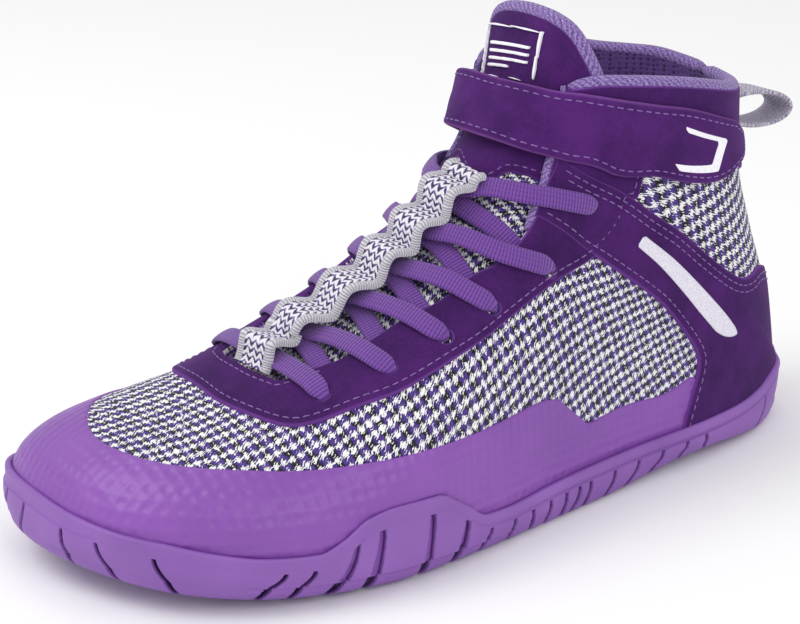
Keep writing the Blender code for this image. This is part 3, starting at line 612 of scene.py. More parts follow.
rings = []
# Cut depth of each ring, kept to paint shade into the slits
slit_shade_field = []
blank = np.zeros(len(loop))
step_height = ring_top - STEP_DOWN
lip_inset = depth_top - lip
foot_inset = 0.0024 - 0.0014 * np.clip((along_ring - 0.2) / 0.05, 0, 1) - 0.0010 * to_heel
foot_inset = np.maximum(foot_inset, 0.4 * lip_inset)
for inset in (0.026, 0.020, 0.015, 0.0115):
    rings.append(plan(loop, inward, inset, ring_ground + 0.0001))
    slit_shade_field.append(blank)
for turn in np.linspace(0.1, np.pi / 2, 12):
    height = ring_ground + foot_round * ROUND_SHARE * (1 - np.cos(turn))
    cut = slit_depth(float(np.clip(0.35 * (1 - np.cos(turn)), 0, 1))) * min(1.0, 2.2 * math.sin(turn))
    rings.append(plan(loop, inward, (foot_inset + foot_round * (1 - math.sin(turn)) + cut)[:, None], height))
    slit_shade_field.append(cut)
base = ring_ground + foot_round * ROUND_SHARE
for share in np.linspace(0.06, 0.97, 14):
    cut = slit_depth(0.35 + 0.65 * share)
    inset = foot_inset * (1 - share) + lip_inset * share - 0.0005 * math.sin(math.pi * share)
    height = base + (step_height - base) * share
    inset = np.minimum(inset, shoe_inset(height))
    rings.append(plan(loop, inward, (inset + cut)[:, None], height))
    slit_shade_field.append(cut)
# The groove under the lip, then the lip's face: mm above the step line, mm inwards
STEP_PROFILE = [
    (-0.1, 0.05), (0.12, 0.42), (0.35, 0.50), (0.6, 0.25), (0.95, -0.1), (1.6, -0.3), (2.5, -0.3), (3.2, -0.15),
]
for rise_mm, more in STEP_PROFILE:
    height = step_height + rise_mm / 1000
    inset = np.minimum(lip_inset + ridge * more / 1000, shoe_inset(height) + 0.0003)
    rings.append(plan(loop, inward, inset[:, None], height))
    # The groove under the lip goes into the same field, for painted shade in it
    slit_shade_field.append(ridge * max(0.0, more) * 0.0008)
for turn in np.linspace(0, np.pi, 8):
    half = 0.5 * (lip + 0.0006)
    inset = lip_inset + half * (1 - math.cos(turn))
    rings.append(plan(loop, inward, inset[:, None], ring_top - 0.0008 + 0.0008 * math.sin(turn)))
    slit_shade_field.append(blank)
rings.append(plan(loop, inward, depth_mid[:, None] + 0.0010, ring_feather + 0.5 * (ring_top - ring_feather)))
rings.append(plan(loop, inward, FEATHER_INSET + 0.001, ring_feather - 0.0006))
rings.append(plan(loop, inward, 0.012, ring_feather - 0.0006))
slit_shade_field += [blank, blank, blank]
points, faces = rings_solid(rings)
rubber = finish("moulded_rubber_purple")
# Moulded rubber: even violet with a soft bloom, fine etched grain from the mould and a dull gloss; painted shade
# darkens the slits and the groove under the lip
place_in = node(rubber, "TexCoord").outputs["Object"]
grain = node(rubber, "TexNoise", {"Vector": place_in, "Scale": 1500.0, "Detail": 3.0})
cloud = node(rubber, "TexNoise", {"Vector": place_in, "Scale": 38.0, "Detail": 2.0})
colour = ramp(rubber, cloud.outputs["Fac"], [(0.3, tone("#7e4fa2")), (0.7, tone("#8c5bb0"))])
# Painted shade: the slits and the groove under the lip are darkened towards #2b1545 by how deep they are cut
slit = node(rubber, "Attribute", attribute_name="edge_mm")
inside = node(rubber, "MapRange", {"Value": slit.outputs["Fac"], "From Min": 0.35, "From Max": 1.4, "To Max": 0.92})
tint = node(rubber, "Mix", {0: inside, 6: colour, 7: tone("#2b1545")}, data_type="RGBA")
bump = node(rubber, "Bump", {"Height": grain.outputs["Fac"], "Strength": 0.4, "Distance": 0.0003})
shell = node(rubber, "BsdfPrincipled", {"Base Color": tint, "Roughness": 0.5, "IOR": 1.52, "Normal": bump})
node(rubber, "OutputMaterial", {"Surface": shell})
shape("sole_cup", place(points), faces, rubber, ["outsole"], sharp=50, edge=np.concatenate(slit_shade_field))

# Insole: a thin foam sheet faced with knitted fabric, laid loose on the footbed.
# Its edge turns up a little where it meets the shell.
shares = np.linspace(0.012, 0.988, 90)
halves = outline_halves(FEATHER_INSET + WALL + INSOLE_EASE)
left_x, right_x, along_in = outline_x(halves, shares)
feather_here = np.interp(along_in, loop[:toe_index, 1], ring_feather[:toe_index])
across = np.linspace(-1, 1, 25)
bed = np.zeros((len(shares), len(across), 3))
bed[..., 0] = 0.5 * (left_x + right_x)[:, None] + 0.5 * (left_x - right_x)[:, None] * across
bed[..., 1] = along_in[:, None]
bed[..., 2] = feather_here[:, None] + 0.0022 + 0.0008 * across**4
under = bed.copy()
under[..., 2] = feather_here[:, None] + 0.0002
points, faces = thick_sheet(bed, under)
lining_knit = finish("airmesh_lining")
# Warp-knitted airmesh: a violet net whose pores are darkened with painted shade, soft and dull
place_in = node(lining_knit, "TexCoord").outputs["Object"]
pores = node(lining_knit, "TexVoronoi", {"Vector": place_in, "Scale": 620.0, "Randomness": 0.35})
tint = ramp(lining_knit, pores.outputs["Distance"], [(0.15, tone("#2a1540")), (0.45, tone("#5d4086"))])
bump = node(lining_knit, "Bump", {"Height": pores.outputs["Distance"], "Strength": 0.6, "Distance": 0.0006})
soft = node(lining_knit, "BsdfPrincipled", {"Base Color": tint, "Roughness": 0.9, "Normal": bump, "Sheen Weight": 0.2})
node(lining_knit, "OutputMaterial", {"Surface": soft})
shape("insole_sheet", place(points), faces, lining_knit, ["insole"])

# Knit shell: a jacquard knit of white leaf-shaped tufts over violet yarn, with near-black painted shade in the gaps
# between them.
# The lower part is lasted under the insole; a second part wraps the ankle.
# A padded airmesh lining is sewn inside, thickest at the collar.


def held_at(line, grids):
    """Values of grids over the last at (station, girth) pairs."""
    line = np.asarray(line, float)
    row = np.interp(line[..., 0], STATION_LINES, np.arange(len(STATION_LINES)))
    column = np.clip(line[..., 1], 0, 1) * (len(GIRTH_LINES) - 1)
    i = np.clip(row.astype(int), 0, len(STATION_LINES) - 2)
    j = np.clip(column.astype(int), 0, len(GIRTH_LINES) - 2)
    u, v = row - i, column - j
    found = []
    for held in grids:
        if held.ndim == 3 and u.ndim == row.ndim:
            u, v = u[..., None], v[..., None]
        near = held[i, j] * (1 - v) + held[i, j + 1] * v
        far = held[i + 1, j] * (1 - v) + held[i + 1, j + 1] * v
        found.append(near * (1 - u) + far * u)
    return found


def on_last(line, lift=0.0):
    """World points of (station, girth) pairs, moved out along the surface by lift."""
    point, normal = held_at(line, (LAST, NORMALS))
    return point + normal * np.asarray(lift, float)[..., None]


def through(p0, p1, p2, p3, share):
    """Points of a smooth curve between p1 and p2."""
    bend = 2 * p0 - 5 * p1 + 4 * p2 - p3
    twist = 3 * p1 - p0 - 3 * p2 + p3
    return 0.5 * (2 * p1 + (p2 - p0) * share + bend * share**2 + twist * share**3)


def smooth_run(knots, step=0.0007):
    """A curve through (station, girth) knots, with even steps on the last."""
    knots = np.array(knots, float)
    whole = np.vstack([2 * knots[0] - knots[1], knots, 2 * knots[-1] - knots[-2]])
    share = (np.arange(24) / 24)[:, None]
    line = []
    for p0, p1, p2, p3 in zip(whole, whole[1:], whole[2:], whole[3:]):
        line.append(through(p0, p1, p2, p3, share))
    line = np.vstack(line + [knots[-1:]])
    run = np.linalg.norm(np.diff(on_last(line), axis=0), axis=1)
    run = np.concatenate([[0], np.cumsum(run + 1e-9)])
    even = np.linspace(0, run[-1], max(2, int(run[-1] / step)))
    return np.column_stack([np.interp(even, run, line[:, 0]), np.interp(even, run, line[:, 1])])


def within(line, outline):
    """Which (station, girth) pairs are inside a closed outline."""
    s, g = line[:, 0], line[:, 1]
    hit = np.zeros(len(line), bool)
    for a, b in zip(outline, np.roll(outline, -1, axis=0)):
        if a[1] != b[1]:
            crosses = (a[1] > g) != (b[1] > g)
            hit ^= crosses & (s < a[0] + (g - a[1]) * (b[0] - a[0]) / (b[1] - a[1]))
    return hit


def edge_distance(line, outline):
    """Distance in metres from each pair to a closed outline, positive inside."""
    rim = on_last(outline)
    tree = kdtree.KDTree(len(rim))
    for k, point in enumerate(rim):
        tree.insert(point, k)
    tree.balance()
    here = on_last(line)
    nearest = np.array([tree.find(point)[1] for point in here])
    away = np.full(len(here), np.inf)
    for turn in (-1, 0):
        a = rim[(nearest + turn) % len(rim)]
        b = rim[(nearest + turn + 1) % len(rim)]
        run = b - a
        share = np.clip(((here - a) * run).sum(axis=1) / np.maximum((run * run).sum(axis=1), 1e-18), 0, 1)
        away = np.minimum(away, np.linalg.norm(here - a - run * share[:, None], axis=1))
    return np.where(within(line, outline), away, -away)


def split_faces(line, field, faces, level):
    """Cuts every face that crosses a level of the field."""
    made = {}
    kept = []
    tiny = 1e-7
    for face in faces:
        values = [field[v] - level for v in face]
        if max(values) <= tiny or min(values) >= -tiny:
            kept.append(face)
            continue
        parts = ([], [])
        for k, a in enumerate(face):
            b = face[(k + 1) % len(face)]
            va, vb = field[a] - level, field[b] - level
            if va >= -tiny:
                parts[0].append(a)
            if va <= tiny:
                parts[1].append(a)
            if va * vb < 0 and abs(va) > tiny and abs(vb) > tiny:
                key = (min(a, b), max(a, b))
                if key not in made:
                    made[key] = len(line)
                    share = va / (va - vb)
                    line.append([line[a][0] + share * (line[b][0] - line[a][0]),
                                 line[a][1] + share * (line[b][1] - line[a][1])])
                    field.append(level)
                parts[0].append(made[key])
                parts[1].append(made[key])
        kept += [part for part in parts if len(part) > 2]
    return kept


def closed_outline(stretches):
    """One closed outline from its stretches."""
    return np.vstack([stretch[:-1] for stretch in stretches])


def spread_size(start, end):
    """Length on the last of a straight stretch between two pairs."""
    ladder = np.linspace(0, 1, 200)[:, None]
    return path_length(on_last(np.array(start) + ladder * (np.array(end) - start)))[-1]


def panel(runs, lift, thick, rim=0.0007, skirt=0.0008, back=False, holes=(), step=0.0011, puff=0.0, swell=0.006):
    """A cut sheet on the last: (station, girth) pairs, points, faces and distance from the edge.

    runs are smooth stretches of its outline, holes are (station, girth, radius), and lift is a number or
    a function of the pairs. The edge rolls down over rim, a skirt closes it, back adds the underside, and
    puff raises the middle as padding does.
    """
    stretches = [smooth_run(run) for run in runs]
    outline = closed_outline(stretches)
    low = np.clip(outline.min(axis=0), 0, 1)
    high = np.clip(outline.max(axis=0), 0, 1)
    middle = 0.5 * (low + high)
    tall = spread_size((low[0], middle[1]), (high[0], middle[1]))
    wide = spread_size((middle[0], low[1]), (middle[0], high[1]))
    s, g = np.meshgrid(np.linspace(low[0], high[0], max(4, int(tall / step))),
                       np.linspace(low[1], high[1], max(4, int(wide / step))), indexing="ij")
    line = np.column_stack([s.reshape(-1), g.reshape(-1)])
    field = edge_distance(line, outline)
    for hole_s, hole_g, radius in holes:
        centre = on_last(np.array([[hole_s, hole_g]]))
        field = np.minimum(field, np.linalg.norm(on_last(line) - centre, axis=1) - radius)
    index = np.arange(s.size).reshape(s.shape)
    quads = np.stack([index[:-1, :-1], index[:-1, 1:], index[1:, 1:], index[1:, :-1]], axis=-1).reshape(-1, 4)
    quads = quads[field[quads].max(axis=1) > 1e-7].tolist()
    line, field = line.tolist(), field.tolist()
    for level in (0.0, 0.22 * rim, rim):
        quads = split_faces(line, field, quads, level)
    quads = [face for face in quads if max(field[v] for v in face) > 1e-7]
    used = sorted({v for face in quads for v in face})
    renamed = {old: new for new, old in enumerate(used)}
    faces = [[renamed[v] for v in face] for face in quads]
    line, field = np.array(line)[used], np.maximum(np.array(field)[used], 0)
    turn = np.clip(field / rim, 0, 1)
    full = np.clip(field / swell, 0, 1)
    ground = lift(line) if callable(lift) else np.full(len(line), lift)
    lifts = ground + thick * np.sqrt(1 - (1 - turn) ** 2) + puff * np.sqrt(1 - (1 - full) ** 2)
    points = on_last(line, lifts)
    first = faces[len(faces) // 2]
    turned = np.cross(points[first[1]] - points[first[0]], points[first[2]] - points[first[1]])
    out = points[first[0]] - on_last(line[first[:1]], lifts[first[:1]] - 0.001)[0]
    if turned @ out < 0:
        faces = [face[::-1] for face in faces]
    seen = {}
    for face in faces:
        for a, b in zip(face, face[1:] + face[:1]):
            seen[(a, b)] = (b, a) not in seen
            if (b, a) in seen:
                seen[(b, a)] = False
    border = [pair for pair, alone in seen.items() if alone and field[pair[0]] < 1e-6 and field[pair[1]] < 1e-6]
    low_of = {}
    extra_line, extra_lift = [], []
    start = len(line)
    if back:
        low_of = {v: start + v for v in range(start)}
        extra_line = line.tolist()
        extra_lift = (ground - puff * np.sqrt(1 - (1 - full) ** 2)).tolist()
    else:
        for v in sorted({v for pair in border for v in pair}):
            low_of[v] = start + len(extra_line)
            extra_line.append(line[v])
            extra_lift.append(ground[v] - skirt)
    if back:
        faces += [[low_of[v] for v in face[::-1]] for face in faces]
    faces += [[b, a, low_of[a], low_of[b]] for a, b in border]
    points = np.vstack([points, on_last(np.array(extra_line), np.array(extra_lift))])
    line = np.vstack([line, extra_line])
    field = np.concatenate([field, np.zeros(start) if back else np.zeros(len(extra_line))])
    return line, points, faces, field, stretches


def weld(parts):
    """Several (points, faces, field) made one, with the points that coincide joined."""
    points, faces, fields, lines = [], [], [], []
    for line, held, sides, field, _ in parts:
        base = sum(len(p) for p in points)
        faces += [[v + base for v in face] for face in sides]
        points.append(held)
        fields.append(field)
        lines.append(line)
    points, fields, lines = np.vstack(points), np.concatenate(fields), np.vstack(lines)
    cells = np.round(points / 2e-6).astype(np.int64)
    _, first, index = np.unique(cells, axis=0, return_index=True, return_inverse=True)
    index = index.reshape(-1)
    joined = []
    for face in faces:
        corners = list(dict.fromkeys(int(index[v]) for v in face))
        if len(corners) > 2:
            joined.append(corners)
    return lines[first], points[first], joined, fields[first]


def mirrored(runs):
    """The same outline on the medial side."""
    return [[(s, 1 - g) for s, g in run] for run in runs]


STEPS_ALONG = np.linalg.norm(np.diff(LAST, axis=0), axis=2)
STEPS_AROUND = np.linalg.norm(np.diff(LAST, axis=1), axis=2)
CLOTH_ALONG = np.pad(np.cumsum(STEPS_ALONG, axis=0), ((1, 0), (0, 0)))
CLOTH_AROUND = np.pad(np.cumsum(STEPS_AROUND, axis=1), ((0, 0), (1, 0)))


def cloth_at(line):
    """Cloth coordinates in millimetres: along the shoe, and round it from the lateral feather."""
    return [1000 * part for part in held_at(line, (CLOTH_ALONG, CLOTH_AROUND))]


def knit_finish(name, lean, along, rows, every):
    """Jacquard knit: rows of white tufts, with violet squares and near-black painted shade in the gaps between the
    rows.

    In mm: along from tuft to tuft, rows from row to row, every from violet square to violet square.
    """
    made = finish(name)
    cloth = node(made, "UVMap", uv_map="cloth")
    turned = node(made, "Mapping", {"Vector": cloth, "Rotation": (0.0, 0.0, lean)})
    wobble = node(made, "TexNoise", {"Vector": turned, "Scale": 0.45, "Detail": 2.0, "Roughness": 0.6})
    shift = node(made, "VectorMath", {0: wobble.outputs["Color"], 1: (0.5, 0.5, 0.5)}, operation="SUBTRACT")
    moved = node(made, "VectorMath", {0: shift, 1: (2.4, 2.4, 0.0), 2: turned}, operation="MULTIPLY_ADD")
    split = node(made, "SeparateXYZ", {"Vector": moved})
    waves = []
    for axis, period in (("X", along), ("Y", rows), ("X", every)):
        angle = node(made, "Math", {0: split.outputs[axis], 1: 2 * math.pi / period}, operation="MULTIPLY")
        waves.append(node(made, "Math", {0: angle}, operation="COSINE"))
    tuft, row, square = waves
    slanted = node(made, "Mapping", {"Vector": moved, "Rotation": (0.0, 0.0, 0.9)})
    strand_look = {"Vector": slanted, "Scale": 0.36, "Distortion": 3.5, "Detail": 2.0, "Detail Scale": 1.4}
    strand = node(made, "TexWave", strand_look, wave_type="BANDS", bands_direction="X")
    fuzz = node(made, "TexNoise", {"Vector": cloth, "Scale": 1.5, "Detail": 2.0, "Roughness": 0.75})
    tufted = node(made, "Math", {0: tuft, 1: 0.75, 2: row}, operation="MULTIPLY_ADD")
    stranded = node(made, "Math", {0: strand.outputs["Fac"], 1: 1.5, 2: tufted}, operation="MULTIPLY_ADD")
    frayed = node(made, "Math", {0: fuzz.outputs["Fac"], 1: 3.0, 2: stranded}, operation="MULTIPLY_ADD")
    is_white = node(made, "MapRange", {"Value": frayed, "From Min": 2.50, "From Max": 2.74})
    # Painted shade: near-black in the gaps between the rows, where the tufts' relief would shade
    squared = node(made, "Math", {0: fuzz.outputs["Fac"], 1: 1.6, 2: square}, operation="MULTIPLY_ADD")
    is_painted_shade = node(made, "MapRange", {"Value": squared, "From Min": 0.7, "From Max": 1.2})
    violet = ramp(made, strand.outputs["Fac"], [(0.2, VIOLET_YARN[1]), (0.7, VIOLET_YARN[0])])
    share = node(made, "MapRange", {"Value": frayed, "From Min": 1.0, "From Max": 4.2})
    white = ramp(made, share, [(0.40, WHITE_YARN[0]), (0.55, WHITE_YARN[1])])
    low = node(made, "Mix", {0: is_painted_shade, 6: violet, 7: PAINTED_GAP_SHADE}, data_type="RGBA")
    colours = node(made, "Mix", {0: is_white, 6: low, 7: white}, data_type="RGBA")
    bump = node(made, "Bump", {"Height": share, "Strength": 0.8, "Distance": 0.0009})
    surface_node = node(made, "BsdfPrincipled", {"Base Color": colours, "Roughness": 0.85, "Normal": bump,
                                                 "Sheen Weight": 0.1, "Sheen Roughness": 0.5})
    node(made, "OutputMaterial", {"Surface": surface_node})
    return made


WHITE_YARN = (tone("#c9bce0"), tone("#ffffff"))
VIOLET_YARN = (tone("#5a3799"), tone("#3c2078"))
# Near-black painted shade for the knit's gaps, not a yarn colour
PAINTED_GAP_SHADE = tone("#0a0314")
vamp_knit = knit_finish("jacquard_knit_vamp", -0.42, 2.6, 4.1, 5.2)
ankle_knit = knit_finish("jacquard_knit_ankle", 0.26, 2.8, 4.2, 5.6)

THROAT_EDGE = [(0.304, 0.40), (0.315, 0.394), (0.334, 0.388), (0.368, 0.375), (0.42, 0.378), (0.469, 0.366),
               (0.514, 0.366), (0.543, 0.359), (0.578, 0.363), (0.618, 0.378), (0.658, 0.40), (0.703, 0.419),
               (0.78, 0.424), (0.848, 0.425)]
THROAT_TIP = [(0.304, 0.60), (0.297, 0.55), (0.296, 0.50), (0.297, 0.45), (0.304, 0.40)]
ARM_SPLIT = [(0.745, 0.0), (0.74, 0.10), (0.73, 0.15), (0.72, 0.20), (0.70, 0.30), (0.685, 0.40)]
below_split = [(s, g) for s, g in THROAT_EDGE if s < 0.68] + [(0.68, 0.405)]
lower_runs = [
    [(0.0, -0.02), (0.3, -0.02), (0.745, -0.02)],
    [(0.745, -0.02)] + ARM_SPLIT[:-1] + [(0.68, 0.405)],
    below_split[::-1],
    THROAT_TIP[::-1],
    [(s, 1 - g) for s, g in below_split],
    [(s, 1 - g) for s, g in [(0.68, 0.405)] + ARM_SPLIT[:-1][::-1] + [(0.745, -0.02)]],
    [(0.745, 1.02), (0.3, 1.02), (0.0, 1.02)],
    [(0.0, 1.02), (-0.01, 0.5), (0.0, -0.02)],
]
line, points, faces, field, _ = panel(lower_runs, -0.0009, 0.0, skirt=0.0015, step=0.0014)
along_mm, around_mm = cloth_at(line)
cloth_uv = np.column_stack([along_mm, around_mm])
shape("shell_vamp", points, faces, vamp_knit, ["upper"], cloth=cloth_uv, outward=True)
ankle_runs = [
    [(0.735, -0.02), (0.735, 0.0), (0.73, 0.10), (0.72, 0.15), (0.71, 0.20), (0.69, 0.30), (0.675, 0.41)],
    [(0.675, 0.41), (0.703, 0.419), (0.78, 0.424), (0.835, 0.425)],
    [(0.835, 0.425), (0.90, 0.35), (0.93, 0.20), (0.93, -0.02)],
    [(0.93, -0.02), (0.735, -0.02)],
]
ankle_parts = [panel(runs, -0.0007, 0.0, skirt=0.0015) for runs in (ankle_runs, mirrored(ankle_runs))]
line, points, faces, field = weld(ankle_parts)
turned_at = np.arctan2(points[:, 0], points[:, 1] - 0.085)
cloth_uv = np.column_stack([turned_at * 40, points[:, 2] * 1000])
shape("shell_ankle", points, faces, ankle_knit, ["upper"], cloth=cloth_uv, outward=True)

# Padded lining inside the shell, its foam swelling at the collar
COLLAR_LINE = [(0.0, 0.995), (0.07, 0.986), (0.14, 0.973), (0.23, 0.953), (0.31, 0.925), (0.38, 0.886), (0.425, 0.845),
               (0.575, 0.845), (0.62, 0.884), (0.65, 0.905), (0.70, 0.930), (0.75, 0.952), (0.80, 0.968), (0.84, 0.978),
               (0.88, 0.988), (0.92, 0.996), (0.96, 0.997), (1.0, 0.995)]
inside_s = np.concatenate([np.linspace(0.08, 0.70, 60), np.linspace(0.70, 1.0, 60)[1:]])
inside_half = np.linspace(0, 1, 40)
sheets = []
for side in (0, 1):
    girths = (0.5 - throat_half(inside_s))[:, None] * inside_half
    mine = girths if side == 0 else 1 - girths
    limit = np.interp(mine, [g for g, _ in COLLAR_LINE], [s for _, s in COLLAR_LINE]) - 0.003
    reach = np.clip((inside_s[:, None] - HEEL_STATION) / (1 - HEEL_STATION), 0, 1)
    ground = np.minimum(inside_s[:, None], HEEL_STATION) + reach * (limit - HEEL_STATION)
    depth = 0.0030 + pad_depth(ground, mine)
    sheet = on_last(np.stack([ground, mine], axis=-1), -depth)
    sheets.append(sheet)
lining_points = np.vstack([sheet.reshape(-1, 3) for sheet in sheets])
rows, count = sheets[0].shape[:2]
lining_faces = sheet_faces(rows, count, 0, True) + sheet_faces(rows, count, rows * count, False)
lining = shape("collar_lining", lining_points, lining_faces, lining_knit, ["upper"], outward=True)

# Toe cap and rand: a thin moulded film welded over the knit, lighter than the sole.
# Its face is pressed in faint round dimples, and it catches a satin light.
film = finish("moulded_film_violet")
place_in = node(film, "TexCoord").outputs["Object"]
dimple_look = {"Vector": place_in, "Scale": 290.0, "Randomness": 0.12, "Smoothness": 0.6}
dimple = node(film, "TexVoronoi", dimple_look, feature="SMOOTH_F1")
bump = node(film, "Bump", {"Height": dimple.outputs["Distance"], "Strength": 0.5, "Distance": 0.0016})
spread = node(film, "TexNoise", {"Vector": place_in, "Scale": 30.0})
tint = ramp(film, spread.outputs["Fac"], [(0.35, tone("#7c45a1")), (0.65, tone("#874dab"))])
skin = node(film, "BsdfPrincipled", {"Base Color": tint, "Roughness": 0.42, "IOR": 1.5, "Normal": bump})
node(film, "OutputMaterial", {"Surface": skin})
rand_edge = [(0.66, 0.091), (0.631, 0.081), (0.602, 0.088), (0.562, 0.088)]
toe_edge = [
    (0.541, 0.147), (0.519, 0.158), (0.464, 0.163), (0.403, 0.170), (0.328, 0.183), (0.254, 0.204), (0.217, 0.222),
    (0.18, 0.253), (0.15, 0.306), (0.135, 0.384), (0.132, 0.45), (0.137, 0.52), (0.152, 0.60), (0.18, 0.68),
    (0.22, 0.74), (0.30, 0.80), (0.45, 0.84), (0.54, 0.853),
]
film_runs = [
    [(0.67, -0.02), (0.67, 0.04), (0.66, 0.091)],
    rand_edge,
    [rand_edge[-1], toe_edge[0]],
    toe_edge,
    [toe_edge[-1], (0.56, 0.912)],
    [(0.56, 0.912), (0.60, 0.912), (0.66, 0.909)],
    [(0.66, 0.909), (0.67, 0.96), (0.67, 1.02)],
    [(0.67, 1.02), (0.3, 1.02), (0.0, 1.02)],
    [(0.0, 1.02), (-0.02, 0.5), (0.0, -0.02)],
    [(0.0, -0.02), (0.3, -0.02), (0.67, -0.02)],
]
line, points, faces, field, _ = panel(film_runs, -0.0009, 0.0006, rim=0.0009, step=0.0013)
cloth_uv = np.column_stack([points[:, 1] * 1000, cloth_at(line)[1]])
shape("toe_rand_film", points, faces, film, ["upper"], cloth=cloth_uv, edge=field, outward=True)

# Microsuede overlays: a U-shaped eyestay, and a heel panel with an arm that runs up to the throat.
# Each is cut raw, glued over the knit and sewn round its edge with lilac thread.


def suede_finish(name, deep, light, raw):
    """Microsuede: short nap that mottles dark and light, with a lighter raw edge; no gloss, soft sheen."""
    made = finish(name)
    place_in = node(made, "TexCoord").outputs["Object"]
    patch = node(made, "TexNoise", {"Vector": place_in, "Scale": 55.0, "Detail": 4.0, "Roughness": 0.65})
    nap = node(made, "TexNoise", {"Vector": place_in, "Scale": 1500.0, "Detail": 3.0, "Roughness": 0.7})
    mixed = node(made, "Math", {0: nap.outputs["Fac"], 1: 0.55, 2: patch.outputs["Fac"]}, operation="MULTIPLY_ADD")
    body = ramp(made, mixed, [(0.62, deep), (0.95, light)])
    edge_mm = node(made, "Attribute", attribute_name="edge_mm")
    raw_edge = {"Value": edge_mm.outputs["Fac"], "From Min": 0.1, "From Max": 0.75, "To Min": 0.75, "To Max": 0.0}
    near = node(made, "MapRange", raw_edge)
    tint = node(made, "Mix", {0: near, 6: body, 7: raw}, data_type="RGBA")
    bump = node(made, "Bump", {"Height": nap.outputs["Fac"], "Strength": 0.35, "Distance": 0.0004})
    cloth_node = node(made, "BsdfPrincipled", {"Base Color": tint, "Roughness": 0.92, "Normal": bump,
                                               "Sheen Weight": 0.15, "Sheen Roughness": 0.45,
                                               "Sheen Tint": tone("#b48ad6"), "Specular IOR Level": 0.25})
    node(made, "OutputMaterial", {"Surface": cloth_node})
    return made


suede = suede_finish("microsuede_deep_violet", tone("#340f4e"), tone("#4a1a66"), tone("#76439a"))
strap_suede = suede_finish("microsuede_strap_violet", tone("#3b1356"), tone("#511f6e"), tone("#7c4894"))


def inset_line(line, outline, distance):
    """A line on the last moved into its outline along the surface, without the points that come too near an edge."""
    base = on_last(line)
    run = np.gradient(base, axis=0)
    run /= np.linalg.norm(run, axis=1)[:, None]
    up = on_last(line, 0.001) - base
    side = np.cross(up, run)
    side /= np.linalg.norm(side, axis=1)[:, None]
    best = None
    for sign in (1, -1):
        target = base + sign * side * distance
        moved = line.copy()
        for _ in range(5):
            here = on_last(moved)
            by_s = (on_last(moved + (1e-4, 0)) - here) / 1e-4
            by_g = (on_last(moved + (0, 1e-4)) - here) / 1e-4
            miss = target - here
            a, b, c = (by_s * by_s).sum(1), (by_s * by_g).sum(1), (by_g * by_g).sum(1)
            e, f = (by_s * miss).sum(1), (by_g * miss).sum(1)
            moved[:, 0] += (c * e - b * f) / (a * c - b * b)
            moved[:, 1] += (a * f - b * e) / (a * c - b * b)
        kept = edge_distance(moved, outline) > 0.93 * distance
        if best is None or kept.sum() > best[1].sum():
            best = (moved, kept)
    return best[0][best[1]]


def sweep(centres, sides, ups, section, sizes=None):
    """A closed rod: a section in (side, up) carried along a path, with rounded-off ends left to sizes."""
    section = np.array(section, float)
    sizes = np.ones((len(centres), 2)) if sizes is None else np.asarray(sizes, float)
    points = (centres[:, None] + sides[:, None] * (section[:, 0] * sizes[:, :1])[..., None]
              + ups[:, None] * (section[:, 1] * sizes[:, 1:])[..., None])
    count = len(section)
    faces = []
    for i in range(len(centres) - 1):
        for k in range(count):
            a, b = i * count + k, i * count + (k + 1) % count
            faces.append([a, b, b + count, a + count])
    last = (len(centres) - 1) * count
    faces += [list(range(count))[::-1], [last + k for k in range(count)]]
    return points.reshape(-1, 3), faces


def frames(centres, ups):
    """Directions of a path: sideways and up, square to it."""
    run = np.gradient(centres, axis=0)
    run /= np.linalg.norm(run, axis=1)[:, None]
    sides = np.cross(run, ups)
    sides /= np.linalg.norm(sides, axis=1)[:, None]
    return sides, np.cross(sides, run)


STITCH = 0.0022
PITCH = 0.0030
thread = finish("polyester_thread_lilac")
# Twisted polyester thread: pale lilac, a slight silk gloss
place_in = node(thread, "TexCoord").outputs["Object"]
twist = node(thread, "TexNoise", {"Vector": place_in, "Scale": 2500.0})
tint = ramp(thread, twist.outputs["Fac"], [(0.35, tone("#664388")), (0.7, tone("#9678b4"))])
silk = node(thread, "BsdfPrincipled", {"Base Color": tint, "Roughness": 0.5})
node(thread, "OutputMaterial", {"Surface": silk})


def stitches(name, lines, lift, replaced, radius=0.00023):
    """Rows of short stitches along lines on the last."""
    points, faces = [], []
    round_section = [(math.cos(a) * radius, math.sin(a) * radius) for a in np.linspace(0, 2 * math.pi, 7)[:-1]]
    for line in lines:
        path = on_last(line)
        run = path_length(path)
        for start in np.arange(0.3 * PITCH, run[-1] - STITCH, PITCH):
            at = start + np.array([0, 0.16, 0.5, 0.84, 1.0]) * STITCH
            pairs = np.column_stack([np.interp(at, run, line[:, 0]), np.interp(at, run, line[:, 1])])
            if np.linalg.norm(np.diff(on_last(pairs), axis=0), axis=1).max() > STITCH:
                continue
            ground = lift(pairs) if callable(lift) else lift
            centres = on_last(pairs, ground + np.array([-0.0002, 0.0001, 0.00016, 0.0001, -0.0002]))
            sides, ups = frames(centres, on_last(pairs, ground + 0.001) - centres)
            sizes = np.array([[0.5, 0.5], [0.9, 0.9], [1, 1], [0.9, 0.9], [0.5, 0.5]])
            more, sides_of = sweep(centres, sides, ups, round_section, sizes)
            faces += [[v + len(points) * len(more) for v in face] for face in sides_of]
            points.append(more)
    return shape(name, np.vstack(points), faces, thread, replaced, outward=True)


